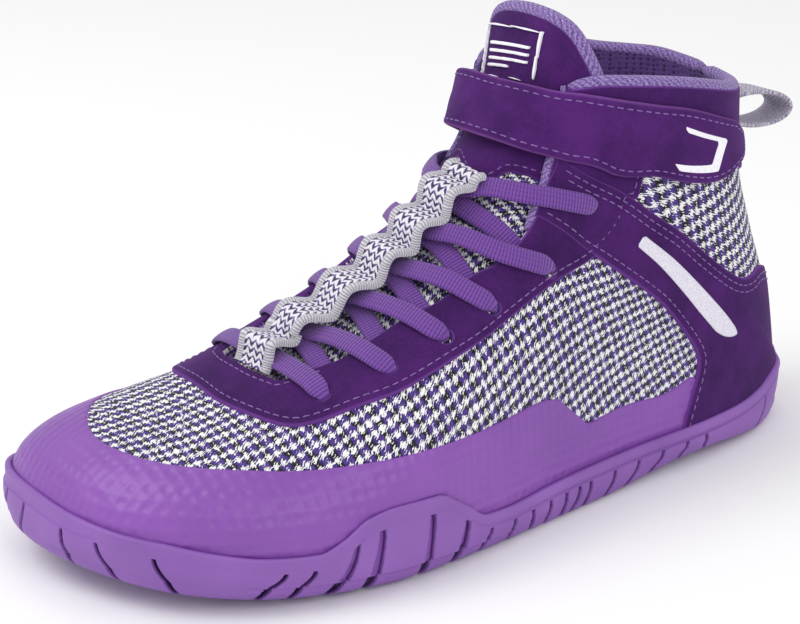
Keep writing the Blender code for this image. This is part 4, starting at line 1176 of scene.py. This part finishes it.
EYELET_ROWS = [(0.323, 0.331), (0.389, 0.321), (0.450, 0.319), (0.512, 0.317), (0.591, 0.319), (0.684, 0.356)]
stay_outer = [
    (0.848, 0.33), (0.80, 0.335), (0.745, 0.345), (0.70, 0.325), (0.644, 0.303), (0.594, 0.297), (0.541, 0.290),
    (0.485, 0.281), (0.442, 0.278), (0.384, 0.272), (0.342, 0.278), (0.302, 0.281), (0.278, 0.291), (0.262, 0.319),
    (0.249, 0.366), (0.241, 0.422), (0.243, 0.503), (0.246, 0.594), (0.258, 0.66), (0.285, 0.70), (0.342, 0.722),
    (0.442, 0.722), (0.541, 0.71), (0.644, 0.697), (0.70, 0.675), (0.745, 0.655), (0.80, 0.665), (0.848, 0.67),
]
stay_runs = [
    stay_outer,
    [(0.848, 0.67), (0.848, 0.575)],
    [(s, 1 - g) for s, g in THROAT_EDGE][::-1],
    THROAT_TIP,
    THROAT_EDGE,
    [(0.848, 0.425), (0.848, 0.33)],
]
HOLE_RADIUS = 0.0021
stay_holes = [(s, g - 0.006, HOLE_RADIUS) for s, g in EYELET_ROWS]
stay_holes += [(s, 1.006 - g, HOLE_RADIUS) for s, g in EYELET_ROWS]
line, points, faces, field, stretches = panel(
    stay_runs, -0.0007, 0.0010, rim=0.0007, skirt=0.0022, holes=stay_holes, step=0.0010
)
shape("eyestay", points, faces, suede, ["upper"], edge=field, outward=True)
stay_outline = closed_outline(stretches)
throat_line = np.vstack([stretches[2][:-1], stretches[3][:-1], stretches[4]])
tip_line = throat_line[throat_line[:, 0] < 0.345]
rows_of_thread = [inset_line(path, stay_outline, 0.0024) for path in (stretches[0], tip_line)]
stitches("eyestay_stitches", rows_of_thread, 0.0003, ["upper"])

heel_runs = [
    [(0.63, -0.03), (0.632, 0.02), (0.663, 0.094), (0.671, 0.122), (0.673, 0.159), (0.673, 0.20), (0.670, 0.225),
     (0.663, 0.256), (0.652, 0.294), (0.642, 0.319), (0.636, 0.344), (0.625, 0.372), (0.618, 0.381)],
    [(0.618, 0.381), (0.640, 0.392), (0.672, 0.407), (0.716, 0.420)],
    [(0.716, 0.420), (0.721, 0.397), (0.729, 0.378), (0.742, 0.356), (0.753, 0.325), (0.764, 0.288), (0.768, 0.244),
     (0.773, 0.203), (0.779, 0.178), (0.790, 0.153), (0.803, 0.130), (0.813, 0.10), (0.819, 0.05), (0.820, -0.03)],
    [(0.820, -0.03), (0.63, -0.03)],
]
heel_parts = [panel(runs, -0.0004, 0.0010, skirt=0.0012) for runs in (heel_runs, mirrored(heel_runs))]
line, points, faces, field = weld(heel_parts)
shape("heel_panel_arm", points, faces, suede, ["upper"], edge=field, outward=True)
rows_of_thread = []
for part in heel_parts:
    outline = closed_outline(part[4])
    for k in (0, 2):
        rows_of_thread.append(inset_line(part[4][k], outline, 0.0024))
rows_of_thread.append(inset_line(heel_parts[0][4][2][:170], closed_outline(heel_parts[0][4]), 0.0046))
stitches("heel_panel_stitches", rows_of_thread, 0.0006, ["upper"])

# Collar: a suede band round the top of the ankle, a lilac binding rolled over its edge.
lateral_top = [(s - 0.004, g) for g, s in COLLAR_LINE if g < 0.43][::-1] + [(0.991, -0.03)]
medial_top = [(s - 0.004, g) for g, s in COLLAR_LINE if g > 0.57] + [(0.991, 1.03)]
band_low = [(0.90, -0.03), (0.90, 0.12), (0.88, 0.20), (0.85, 0.28), (0.81, 0.36), (0.775, 0.43)]
band_runs = [band_low, [(0.775, 0.43), (0.841, 0.425)], lateral_top, [(0.991, -0.03), (0.90, -0.03)]]
far_runs = mirrored([band_low, [(0.775, 0.43), (0.841, 0.425)]]) + [medial_top, [(0.991, 1.03), (0.90, 1.03)]]
line, points, faces, field = weld([panel(runs, -0.0005, 0.0009) for runs in (band_runs, far_runs)])
shape("collar_band", points, faces, suede, ["upper"], edge=field, outward=True)

# A wave texture's scale for one band a millimetre
BAND_SCALE = 0.314


def melange_finish(name, pale, mid, deep, pitch):
    """Melange knit tape: short pale and violet flecks of yarn in a slanting rib, matt and soft."""
    made = finish(name)
    cloth = node(made, "UVMap", uv_map="cloth")
    rib_look = {"Vector": cloth, "Scale": BAND_SCALE / pitch, "Distortion": 3.0, "Detail": 2.0, "Detail Scale": 1.6}
    rib = node(made, "TexWave", rib_look, wave_type="BANDS", bands_direction="DIAGONAL")
    drawn = node(made, "Mapping", {"Vector": cloth, "Rotation": (0.0, 0.0, 0.7), "Scale": (0.9, 1.7, 1.0)})
    flecks = node(made, "TexNoise", {"Vector": drawn, "Scale": 1.5, "Detail": 3.0, "Roughness": 0.75})
    mixed = node(made, "Math", {0: rib.outputs["Fac"], 1: 0.10, 2: flecks.outputs["Fac"]}, operation="MULTIPLY_ADD")
    tint = ramp(made, mixed, [(0.40, deep), (0.54, mid), (0.68, pale)])
    bump = node(made, "Bump", {"Height": mixed, "Strength": 0.7, "Distance": 0.0006})
    cloth_node = node(made, "BsdfPrincipled", {"Base Color": tint, "Roughness": 0.88, "Normal": bump,
                                               "Sheen Weight": 0.2, "Sheen Roughness": 0.5})
    node(made, "OutputMaterial", {"Surface": cloth_node})
    return made


melange = melange_finish("melange_binding_lilac", tone("#b09cca"), tone("#785aa5"), tone("#452672"), 1.1)


def tube(name, line, lift, wide, tall, material, replaced):
    """A soft round piping along a line on the last."""
    centres = on_last(line, lift)
    sides, ups = frames(centres, on_last(line, lift + 0.001) - centres)
    section = [(math.cos(a) * wide, math.sin(a) * tall) for a in np.linspace(0, 2 * math.pi, 17)[:-1]]
    ends = np.clip(np.minimum(np.arange(len(line)), np.arange(len(line))[::-1]) / 3.0, 0.15, 1)
    sizes = np.column_stack([np.sqrt(1 - (1 - ends) ** 2)] * 2)
    points, faces = sweep(centres, sides, ups, section, sizes)
    around = np.arange(16) * (2 * math.pi * wide * 1000 / 16)
    cloth = np.column_stack([np.repeat(path_length(centres) * 1000, 16), np.tile(around, len(line))])
    return shape(name, points, faces, material, replaced, cloth=cloth)


lateral_collar = smooth_run([(s - 0.003, g) for g, s in COLLAR_LINE if g < 0.43][::-1], 0.0015)
medial_collar = smooth_run([(s - 0.003, g) for g, s in COLLAR_LINE if g > 0.57], 0.0015)
for name, path in (("collar_binding_lateral", lateral_collar), ("collar_binding_medial", medial_collar)):
    tube(name, path, -0.0026, 0.0024, 0.0026, melange, ["upper"])
throat_binding = smooth_run([(0.60, 0.372), (0.66, 0.403), (0.703, 0.422), (0.78, 0.428), (0.843, 0.43)], 0.0015)
far_binding = throat_binding * (1, -1) + (0, 1)
for name, path in (("throat_binding_lateral", throat_binding), ("throat_binding_medial", far_binding)):
    tube(name, path, -0.0012, 0.0014, 0.0016, melange, ["upper"])

# Tongue: foam between airmesh and knit, bound all round with lilac melange tape.
# A suede panel covers its upper part, with a plain printed frame and bars near the top.
tongue_half = [(s - 0.017 * max(0.0, (s - 0.80) / 0.17), g) for s, g in TONGUE]
tongue_runs = [
    [(s, 0.5 - g) for s, g in tongue_half],
    [(0.953, 0.48), (0.954, 0.5), (0.953, 0.52)],
    [(s, 0.5 + g) for s, g in tongue_half][::-1],
    [(0.270, 0.62), (0.265, 0.5), (0.270, 0.38)],
]
TONGUE_TOP = -0.0044
line, points, faces, field, stretches = panel(
    tongue_runs, TONGUE_TOP - 0.0016, 0.0016, rim=0.0016, back=True, puff=0.0008, swell=0.008, step=0.0013
)
tongue_knit = knit_finish("tongue_knit", 0.2, 2.4, 3.6, 4.8)
cloth_uv = np.column_stack(cloth_at(line)[::-1])
tongue = shape("tongue_body", points, faces, tongue_knit, ["tongue"], cloth=cloth_uv)
edge_run = np.vstack([stretches[0][:-1], stretches[1][:-1], stretches[2]])
edge_run = edge_run[edge_run[:, 0] > 0.56]
tube("tongue_binding", edge_run[::2], TONGUE_TOP - 0.0006, 0.0022, 0.0024, melange, ["tongue"])
rising = [(s - 0.004, 0.5 - 0.95 * g) for s, g in tongue_half if s > 0.72]
rising.sort()
suede_runs = [
    [(0.642, 0.60), (0.642, 0.55), (0.618, 0.515), (0.599, 0.484), (0.604, 0.472), (0.614, 0.460), (0.632, 0.452),
     (0.650, 0.444), (0.676, 0.40)],
    [(0.676, 0.40)] + rising + [(s, 1 - g) for s, g in rising[::-1]] + [(0.70, 0.605), (0.642, 0.60)],
]
line, points, faces, field, stretches = panel(suede_runs, TONGUE_TOP + 0.0002, 0.0010, puff=0.0014, swell=0.012)
shape("tongue_suede", points, faces, suede, ["tongue"], edge=field, outward=True)
outline = closed_outline(stretches)
rows_of_thread = [inset_line(stretches[0], outline, 0.0022), inset_line(stretches[1], outline, 0.0036)]
stitches("tongue_stitches", rows_of_thread, TONGUE_TOP + 0.0018, ["tongue"])

label_print = finish("printed_label_white")
# Flat transfer print on suede: clean white with a trace of the nap through it
place_in = node(label_print, "TexCoord").outputs["Object"]
nap = node(label_print, "TexNoise", {"Vector": place_in, "Scale": 900.0, "Detail": 2.0})
tint = ramp(label_print, nap.outputs["Fac"], [(0.3, tone("#ebe6f2")), (0.6, tone("#f6f4f9"))])
bump = node(label_print, "Bump", {"Height": nap.outputs["Fac"], "Strength": 0.2, "Distance": 0.0002})
print_node = node(label_print, "BsdfPrincipled", {"Base Color": tint, "Roughness": 0.55, "Normal": bump})
node(label_print, "OutputMaterial", {"Surface": print_node})
corners = np.array([(0.917, 0.566), (0.925, 0.459), (0.818, 0.466), (0.800, 0.545)])


def on_label(across, down):
    """A place on the label from its left and top shares."""
    top = corners[0] + (corners[1] - corners[0]) * across
    foot = corners[3] + (corners[2] - corners[3]) * across
    return tuple(top + (foot - top) * down)


def label_bar(left, top, right, foot):
    """The four straight sides of a printed bar."""
    ring = [on_label(left, top), on_label(right, top), on_label(right, foot), on_label(left, foot)]
    return [[a, b] for a, b in zip(ring, ring[1:] + ring[:1])]


bars = [(0, 0, 1, 0.035), (0, 0.965, 1, 1), (0, 0.0, 0.035, 1), (0.965, 0.0, 1, 1)]
bars += [(0.15, 0.30, 0.85, 0.36), (0.15, 0.44, 0.85, 0.50), (0.15, 0.58, 0.85, 0.64), (0.15, 0.72, 0.55, 0.78)]
for k, bar in enumerate(bars):
    sides = label_bar(*bar)
    line, points, faces, field, _ = panel(sides, TONGUE_TOP + 0.0034, 0.0001, rim=0.0002, skirt=0.0010, step=0.0009)
    shape("tongue_label_%d" % k, points, faces, label_print, ["tongue"], outward=True)

# Ankle strap: suede over webbing with a hook-and-loop end, from the medial side round the front
# to its tab on the lateral side; a row of thread round its edge, and a plain bracket printed at the tab.
tab = [(0.935, 0.160), (0.932, 0.132), (0.922, 0.124), (0.906, 0.130), (0.886, 0.164)]
strap_runs = [
    [(0.886, 0.164), (0.846, 0.231), (0.822, 0.275), (0.790, 0.334), (0.745, 0.388), (0.716, 0.413), (0.684, 0.450),
     (0.672, 0.50), (0.678, 0.547), (0.714, 0.60), (0.760, 0.670), (0.820, 0.760)],
    [(0.820, 0.760), (0.905, 0.760)],
    [(0.905, 0.760), (0.880, 0.670), (0.838, 0.60), (0.817, 0.56), (0.806, 0.50), (0.822, 0.447), (0.851, 0.406),
     (0.875, 0.363), (0.899, 0.309), (0.920, 0.247), (0.935, 0.160)],
    tab,
]


def strap_lift(line):
    """The strap stands a little off the tongue where it crosses the front."""
    return STRAP_LIFT + 0.0030 * np.exp(-(((line[:, 1] - 0.55) / 0.075) ** 2))


line, points, faces, field, stretches = panel(strap_runs, strap_lift, STRAP_THICK - 0.0004, rim=0.0012, back=True)
shape("strap_body", points, faces, strap_suede, ["ankle_strap"], edge=field)
outline = closed_outline(stretches)
whole_edge = np.vstack([stretches[2][:-1], stretches[3][:-1], stretches[0]])
sewn = [inset_line(whole_edge, outline, 0.0022)]
on_strap = lambda pairs: strap_lift(pairs) + STRAP_THICK - 0.0005
stitches("strap_stitches", sewn, on_strap, ["ankle_strap"])
# An even bracket of three straight strokes
mark_lift = STRAP_LIFT + STRAP_THICK - 0.0004
mark_runs = [
    [(0.893, 0.270), (0.909, 0.188)],
    [(0.909, 0.188), (0.866, 0.216)],
    [(0.866, 0.216), (0.828, 0.290)],
    [(0.828, 0.290), (0.834, 0.296)],
    [(0.834, 0.296), (0.869, 0.227)],
    [(0.869, 0.227), (0.900, 0.208)],
    [(0.900, 0.208), (0.887, 0.266)],
    [(0.887, 0.266), (0.893, 0.270)],
]
line, points, faces, field, _ = panel(mark_runs, mark_lift - 0.0001, 0.0002, rim=0.0003, skirt=0.0006, step=0.0009)
shape("strap_bracket", points, faces, label_print, ["ankle_strap"], outward=True)

# Reflective tab: a bar of silver film, heat-pressed on the heel arm
silver = finish("reflective_film_grey")
# Beaded reflective film: pale grey with a satin shine, lighter where the light is square to it
place_in = node(silver, "TexCoord").outputs["Object"]
beads = node(silver, "TexNoise", {"Vector": place_in, "Scale": 2600.0})
tint = ramp(silver, beads.outputs["Fac"], [(0.35, tone("#cfc8da")), (0.65, tone("#ece9f2"))])
bump = node(silver, "Bump", {"Height": beads.outputs["Fac"], "Strength": 0.15, "Distance": 0.0001})
sheet_node = node(silver, "BsdfPrincipled", {"Base Color": tint, "Roughness": 0.3, "Metallic": 0.15, "Normal": bump})
node(silver, "OutputMaterial", {"Surface": sheet_node})
bar_runs = [
    [(0.692, 0.294), (0.711, 0.303)],
    [(0.711, 0.303), (0.718, 0.26), (0.719, 0.215), (0.718, 0.17), (0.716, 0.143)],
    [(0.716, 0.143), (0.712, 0.130), (0.704, 0.128), (0.698, 0.134), (0.695, 0.145)],
    [(0.695, 0.145), (0.695, 0.18), (0.696, 0.215), (0.696, 0.26), (0.692, 0.294)],
]
line, points, faces, field, _ = panel(bar_runs, 0.0005, 0.0004, rim=0.0004)
shape("reflective_bar", points, faces, silver, ["upper"], outward=True)

# Lace: flat woven polyester, 6.8 mm wide. The bottom bar lies outside; each pass then comes up from
# under one side, crosses beneath the elastic band and goes down the eyelet opposite.
lace_cloth = finish("woven_lace_violet")
cloth = node(lace_cloth, "UVMap", uv_map="cloth")
# Flat braid: ribs across it, drawn at one a millimetre where the real ones are half that; a dull silk
rib_look = {"Vector": cloth, "Scale": BAND_SCALE, "Distortion": 0.7, "Detail": 1.0}
ribs = node(lace_cloth, "TexWave", rib_look, wave_type="BANDS", bands_direction="X")
plait_look = {"Vector": cloth, "Scale": BAND_SCALE / 1.4, "Distortion": 0.6}
plait = node(lace_cloth, "TexWave", plait_look, wave_type="BANDS", bands_direction="Y")
woven = node(lace_cloth, "Math", {0: plait.outputs["Fac"], 1: 0.3, 2: ribs.outputs["Fac"]}, operation="MULTIPLY_ADD")
tint = ramp(lace_cloth, woven, [(0.1, tone("#45206f")), (0.75, tone("#753ca2"))])
bump = node(lace_cloth, "Bump", {"Height": woven, "Strength": 0.7, "Distance": 0.0004})
braid_look = {"Base Color": tint, "Roughness": 0.72, "Normal": bump, "Sheen Weight": 0.25}
braid = node(lace_cloth, "BsdfPrincipled", braid_look)
node(lace_cloth, "OutputMaterial", {"Surface": braid})


def flat_section(wide, thick, round_to=0.0005):
    """A flat strip's section with rounded edges."""
    half = 0.5 * wide - round_to
    tall = 0.5 * thick
    ring = [(half + round_to * math.sin(a), tall * math.cos(a)) for a in np.linspace(0, math.pi, 6)]
    top = [(x, tall) for x in np.linspace(-half, half, 7)[1:-1]]
    under = [(x, -tall) for x in np.linspace(half, -half, 7)[1:-1]]
    left = [(-half - round_to * math.sin(a), -tall * math.cos(a)) for a in np.linspace(0, math.pi, 6)]
    return top + ring + under + left


def strip_cloth(centres, section):
    """Cloth coordinates of a swept strip in millimetres: along it, and across it."""
    run = path_length(centres) * 1000
    return np.column_stack([np.repeat(run, len(section)), np.tile(np.array(section)[:, 0] * 1000, len(run))])


def lace_pass(knots, narrow):
    """One stretch of lace through (station, girth, lift) knots."""
    knots = np.array(knots, float)
    share = np.linspace(0, len(knots) - 1, 56)
    whole = np.vstack([2 * knots[0] - knots[1], knots, 2 * knots[-1] - knots[-2]])
    i = np.clip(share.astype(int), 0, len(knots) - 2)
    path = through(whole[i], whole[i + 1], whole[i + 2], whole[i + 3], (share - i)[:, None])
    centres = on_last(path[:, :2], path[:, 2])
    sides, ups = frames(centres, on_last(path[:, :2], path[:, 2] + 0.001) - centres)
    run = path_length(centres) * 1000
    sizes = np.ones((len(centres), 2))
    for end in narrow:
        gap = np.abs(run - (run[-1] if end else 0.0))
        sizes[:, 0] = np.minimum(sizes[:, 0], np.interp(gap, [0, 1.5, 3.5, 5.5], [0.45, 0.62, 0.93, 1.0]))
    section = []
    for x, z in flat_section(0.94 * LACE_WIDTH, 0.0013):
        section.append((x, z * (1.25 - 0.75 * (x / 0.0034) ** 2) + (0.0003 if z > 0 else 0)))
    points, faces = sweep(centres, sides, ups, section, sizes)
    return points, faces, strip_cloth(centres, section)


first_s, first_g = EYELET_ROWS[0]
bottom_bar = [
    (first_s, first_g - 0.012, -0.0012), (first_s, first_g - 0.004, 0.0006), (first_s, 0.36, 0.0018),
    (0.319, 0.43, 0.0020), (0.317, 0.5, 0.0020), (0.319, 0.57, 0.0020),
    (first_s, 0.64, 0.0018), (first_s, 1.004 - first_g, 0.0006), (first_s, 1.012 - first_g, -0.0012),
]
lace_parts = [lace_pass(bottom_bar, (0, 1))]
# Each pass: where it leaves the throat's edge on the far side, then the near side's band edge, throat edge and eyelet
PASSES = [
    [(0.344, 0.622), (0.352, 0.566), (0.365, 0.469), (0.373, 0.422), (0.379, 0.378), (0.384, 0.338), (0.388, 0.314)],
    [(0.403, 0.609), (0.413, 0.537), (0.419, 0.459), (0.427, 0.413), (0.435, 0.372), (0.442, 0.338), (0.448, 0.319)],
    [(0.450, 0.616), (0.458, 0.547), (0.469, 0.459), (0.477, 0.419), (0.488, 0.381), (0.498, 0.347), (0.510, 0.318)],
    [(0.509, 0.612), (0.514, 0.547), (0.519, 0.463), (0.533, 0.419), (0.549, 0.375), (0.567, 0.347), (0.591, 0.319)],
    [(0.575, 0.622), (0.565, 0.537), (0.586, 0.466), (0.604, 0.441), (0.626, 0.413), (0.655, 0.388), (0.686, 0.360)],
]
for k, way in enumerate(PASSES):
    for side in (0, 1):
        over = 0.0010 if (side + k) % 2 else 0.0
        heights = [-0.0026, -0.0010, 0.0008 + over, 0.0013 + 0.5 * over, 0.0015, 0.0012, 0.0003]
        knots = [(2 * way[0][0] - way[1][0], 2 * way[0][1] - way[1][1], -0.0034)]
        knots += [(s, g, lift) for (s, g), lift in zip(way, heights)]
        knots.append((way[-1][0], way[-1][1] - 0.006, -0.0016))
        if side:
            knots = [(s, 1 - g, lift) for s, g, lift in knots]
        lace_parts.append(lace_pass(knots, (1,)))
points, faces, cloths = [], [], []
for more, sides_of, cloth_uv in lace_parts:
    base = sum(len(p) for p in points)
    faces += [[v + base for v in face] for face in sides_of]
    points.append(more)
    cloths.append(cloth_uv)
shape("lace_passes", np.vstack(points), faces, lace_cloth, ["lace"], cloth=np.vstack(cloths), sharp=60)

# Elastic lace band: ribbed grey elastic laid down the throat over the crossings,
# arched over each row; two grey cords edge it and chain stitches run between them.
hump_rows = [0.318, 0.365, 0.415, 0.468, 0.512, 0.563]
BAND_FRONT, BAND_END = 0.298, 0.612
band_s = np.linspace(BAND_FRONT, BAND_END, 230)
phase = np.interp(band_s, hump_rows, np.arange(6))
phase = np.where(band_s < hump_rows[0], (band_s - hump_rows[0]) / 0.047, phase)
phase = np.where(band_s > hump_rows[-1], 5 + (band_s - hump_rows[-1]) / 0.05, phase)
wave = 0.5 + 0.5 * np.cos(2 * np.pi * phase)
lift = 0.0026 + 0.0044 * wave**0.8
ends = np.clip(np.minimum(band_s - BAND_FRONT, BAND_END - band_s) / 0.02, 0, 1)
lift = lift * (0.25 + 0.75 * ends)
middle_g = np.interp(band_s, [BAND_FRONT, 0.35, 0.45, 0.55, BAND_END], [0.462, 0.485, 0.482, 0.478, 0.478])
band_line = np.column_stack([band_s, middle_g])
centres = on_last(band_line, lift)
sides, ups = frames(centres, on_last(band_line, lift + 0.001) - centres)
section = []
half = 0.0080
for x in np.linspace(-half, half, 27):
    cord = max(0.0, 1 - ((abs(x) - 0.0066) / 0.0014) ** 2)
    section.append((x, 0.0007 + 0.0006 * math.sqrt(cord)))
section += [(x, -0.0007) for x, _ in section[::-1]]
points, faces = sweep(centres, sides, ups, section)
cloth_uv = strip_cloth(centres, section)
elastic = finish("chain_stitched_elastic_grey")
cloth = node(elastic, "UVMap", uv_map="cloth")
split = node(elastic, "SeparateXYZ", {"Vector": cloth})
# Grey elastic: V-shaped chain stitches in white, violet and near-black between two pale ribbed cords
mirror = node(elastic, "Math", {0: split.outputs["Y"]}, operation="ABSOLUTE")
chain_x = node(elastic, "Math", {0: split.outputs["Y"], 1: 1.6}, operation="PINGPONG")
drift = node(elastic, "TexNoise", {"Vector": cloth, "Scale": 0.9, "Detail": 2.0, "Roughness": 0.7})
run_on = node(elastic, "Math", {0: drift.outputs["Fac"], 1: 1.6, 2: split.outputs["X"]}, operation="MULTIPLY_ADD")
vee = node(elastic, "Math", {0: chain_x, 1: 0.9, 2: run_on}, operation="MULTIPLY_ADD")
vee_turn = node(elastic, "Math", {0: vee, 1: 2 * math.pi / 2.3}, operation="MULTIPLY")
vee_wave = node(elastic, "Math", {0: vee_turn}, operation="SINE")
column_turn = node(elastic, "Math", {0: split.outputs["Y"], 1: 2 * math.pi / 3.2}, operation="MULTIPLY")
column_wave = node(elastic, "Math", {0: column_turn}, operation="COSINE")
weave = node(elastic, "Math", {0: column_wave, 1: 0.45, 2: vee_wave}, operation="MULTIPLY_ADD")
middle_level = node(elastic, "MapRange", {"Value": weave, "From Min": -1.3, "From Max": 1.3})
yarns = [(0.14, tone("#22103a")), (0.30, tone("#573590")), (0.44, tone("#a79bb9")), (0.58, tone("#e6e3ea"))]
middle_tint = ramp(elastic, middle_level, yarns)
cord_look = {"Vector": cloth, "Scale": BAND_SCALE / 0.8, "Distortion": 2.5, "Detail": 1.0}
cord_wave = node(elastic, "TexWave", cord_look, wave_type="BANDS", bands_direction="X")
cord_tint = ramp(elastic, cord_wave.outputs["Fac"], [(0.1, tone("#a7a2b0")), (0.7, tone("#d9d6de"))])
is_cord = node(elastic, "Math", {0: mirror, 1: 5.0}, operation="GREATER_THAN")
tint = node(elastic, "Mix", {0: is_cord, 6: middle_tint, 7: cord_tint}, data_type="RGBA")
relief = node(elastic, "Mix", {0: is_cord, 2: middle_level, 3: cord_wave.outputs["Fac"]}, data_type="FLOAT")
bump = node(elastic, "Bump", {"Height": relief, "Strength": 0.7, "Distance": 0.0006})
elastic_look = {"Base Color": tint, "Roughness": 0.8, "Normal": bump, "Sheen Weight": 0.2}
elastic_node = node(elastic, "BsdfPrincipled", elastic_look)
node(elastic, "OutputMaterial", {"Surface": elastic_node})
shape("lace_band_elastic", points, faces, elastic, ["lace_band"], cloth=cloth_uv, sharp=60)

# Pull loop: grey and violet webbing folded in a loop and sewn under the collar at the heel.
# It reaches a little further back than its CAD node, as in the photo.
back_point = on_last(np.array([[LOOP_STATION, 0.0]]))[0]
turn = np.linspace(-LOOP_TURN * np.pi, LOOP_TURN * np.pi, 90)
SEEN_REACH = LOOP_REACH + 0.004
SEEN_RISE = 0.0032
LOOP_SLOPE = 0.10
along_loop = back_point[1] + 0.5 * SEEN_REACH + (0.5 * SEEN_REACH - 0.5 * LOOP_THICK) * np.cos(turn) - GAP
height_loop = back_point[2] - LOOP_DROP + SEEN_RISE + (LOOP_HEIGHT - 0.0018) * np.sin(turn)
height_loop -= LOOP_SLOPE * (along_loop - back_point[1])
centres = np.column_stack([np.zeros(len(turn)), along_loop, height_loop])
middle = centres.mean(axis=0)
sides, ups = frames(centres, centres - middle)
section = flat_section(LOOP_WIDTH, LOOP_THICK, 0.0007)
points, faces = sweep(centres, sides, ups, section)
cloth_uv = strip_cloth(centres, section)
webbing = melange_finish("melange_webbing_grey", tone("#d5d1da"), tone("#a09aa9"), tone("#6a4c92"), 0.9)
shape("pull_loop_webbing", points, faces, webbing, ["pull_loop"], cloth=cloth_uv, sharp=60)

# Studio: a plain pale floor, even light all round and one large soft lamp above the toe side
floor_mesh = bpy.data.meshes.new("studio_floor")
floor_mesh.from_pydata([(-6, -6, 0), (6, -6, 0), (6, 6, 0), (-6, 6, 0)], [], [(0, 1, 2, 3)])
floor = bpy.data.objects.new("studio_floor", floor_mesh)
bpy.context.scene.collection.objects.link(floor)
paper = finish("matt_paper_white")
paper_node = node(paper, "BsdfPrincipled", {"Base Color": tone("#fafafa"), "Roughness": 0.9, "Specular IOR Level": 0.2})
node(paper, "OutputMaterial", {"Surface": paper_node})
floor_mesh.materials.append(paper)
world = bpy.data.worlds.new("studio_light")
world.use_nodes = True
world.node_tree.nodes["Background"].inputs["Color"].default_value = (1.0, 1.0, 1.0, 1.0)
world.node_tree.nodes["Background"].inputs["Strength"].default_value = 0.82
bpy.context.scene.world = world


def turned_to(right, up, back, at):
    """A matrix from three directions and a place."""
    rows = np.column_stack([right, up, back]).tolist()
    return Matrix([(*row, place_at) for row, place_at in zip(rows, at)] + [(0, 0, 0, 1)])


def soft_lamp(name, place_at, aim, size, power):
    """A large square area lamp."""
    data = bpy.data.lights.new(name, "AREA")
    data.size = size
    data.energy = power
    lamp = bpy.data.objects.new(name, data)
    back_to = np.array(place_at, float) - np.array(aim, float)
    back_to /= np.linalg.norm(back_to)
    across_to = np.cross((0, 0, 1.0), back_to)
    across_to /= np.linalg.norm(across_to)
    lamp.matrix_world = turned_to(across_to, np.cross(back_to, across_to), back_to, place_at)
    bpy.context.scene.collection.objects.link(lamp)


soft_lamp("key_lamp", (-0.35, -0.75, 1.05), (0, 0, 0.05), 0.7, 5.5)
soft_lamp("side_lamp", (0.95, -0.15, 0.75), (0, 0, 0.05), 0.6, 2.5)

# Camera: the photograph's view, above and in front of the lateral side
AZIMUTH, ELEVATION, DISTANCE = math.radians(53.89), math.radians(19.33), 0.6236
level_way = math.cos(ELEVATION)
back_way = np.array([math.sin(AZIMUTH) * level_way, -math.cos(AZIMUTH) * level_way, math.sin(ELEVATION)])
right_way = np.array([math.cos(AZIMUTH), math.sin(AZIMUTH), 0.0])
camera_data = bpy.data.cameras.new("photo_camera")
camera_data.sensor_width = 36
camera_data.lens = 90.9
camera_data.shift_x = -0.0485
camera_data.shift_y = -0.0139
camera_data.clip_start = 0.01
camera = bpy.data.objects.new("photo_camera", camera_data)
seen_from = np.array([0, 0, 0.060]) + back_way * DISTANCE
camera.matrix_world = turned_to(right_way, np.cross(back_way, right_way), back_way, seen_from)
bpy.context.scene.collection.objects.link(camera)
bpy.context.scene.camera = camera
bpy.context.scene.view_settings.view_transform = "Standard"
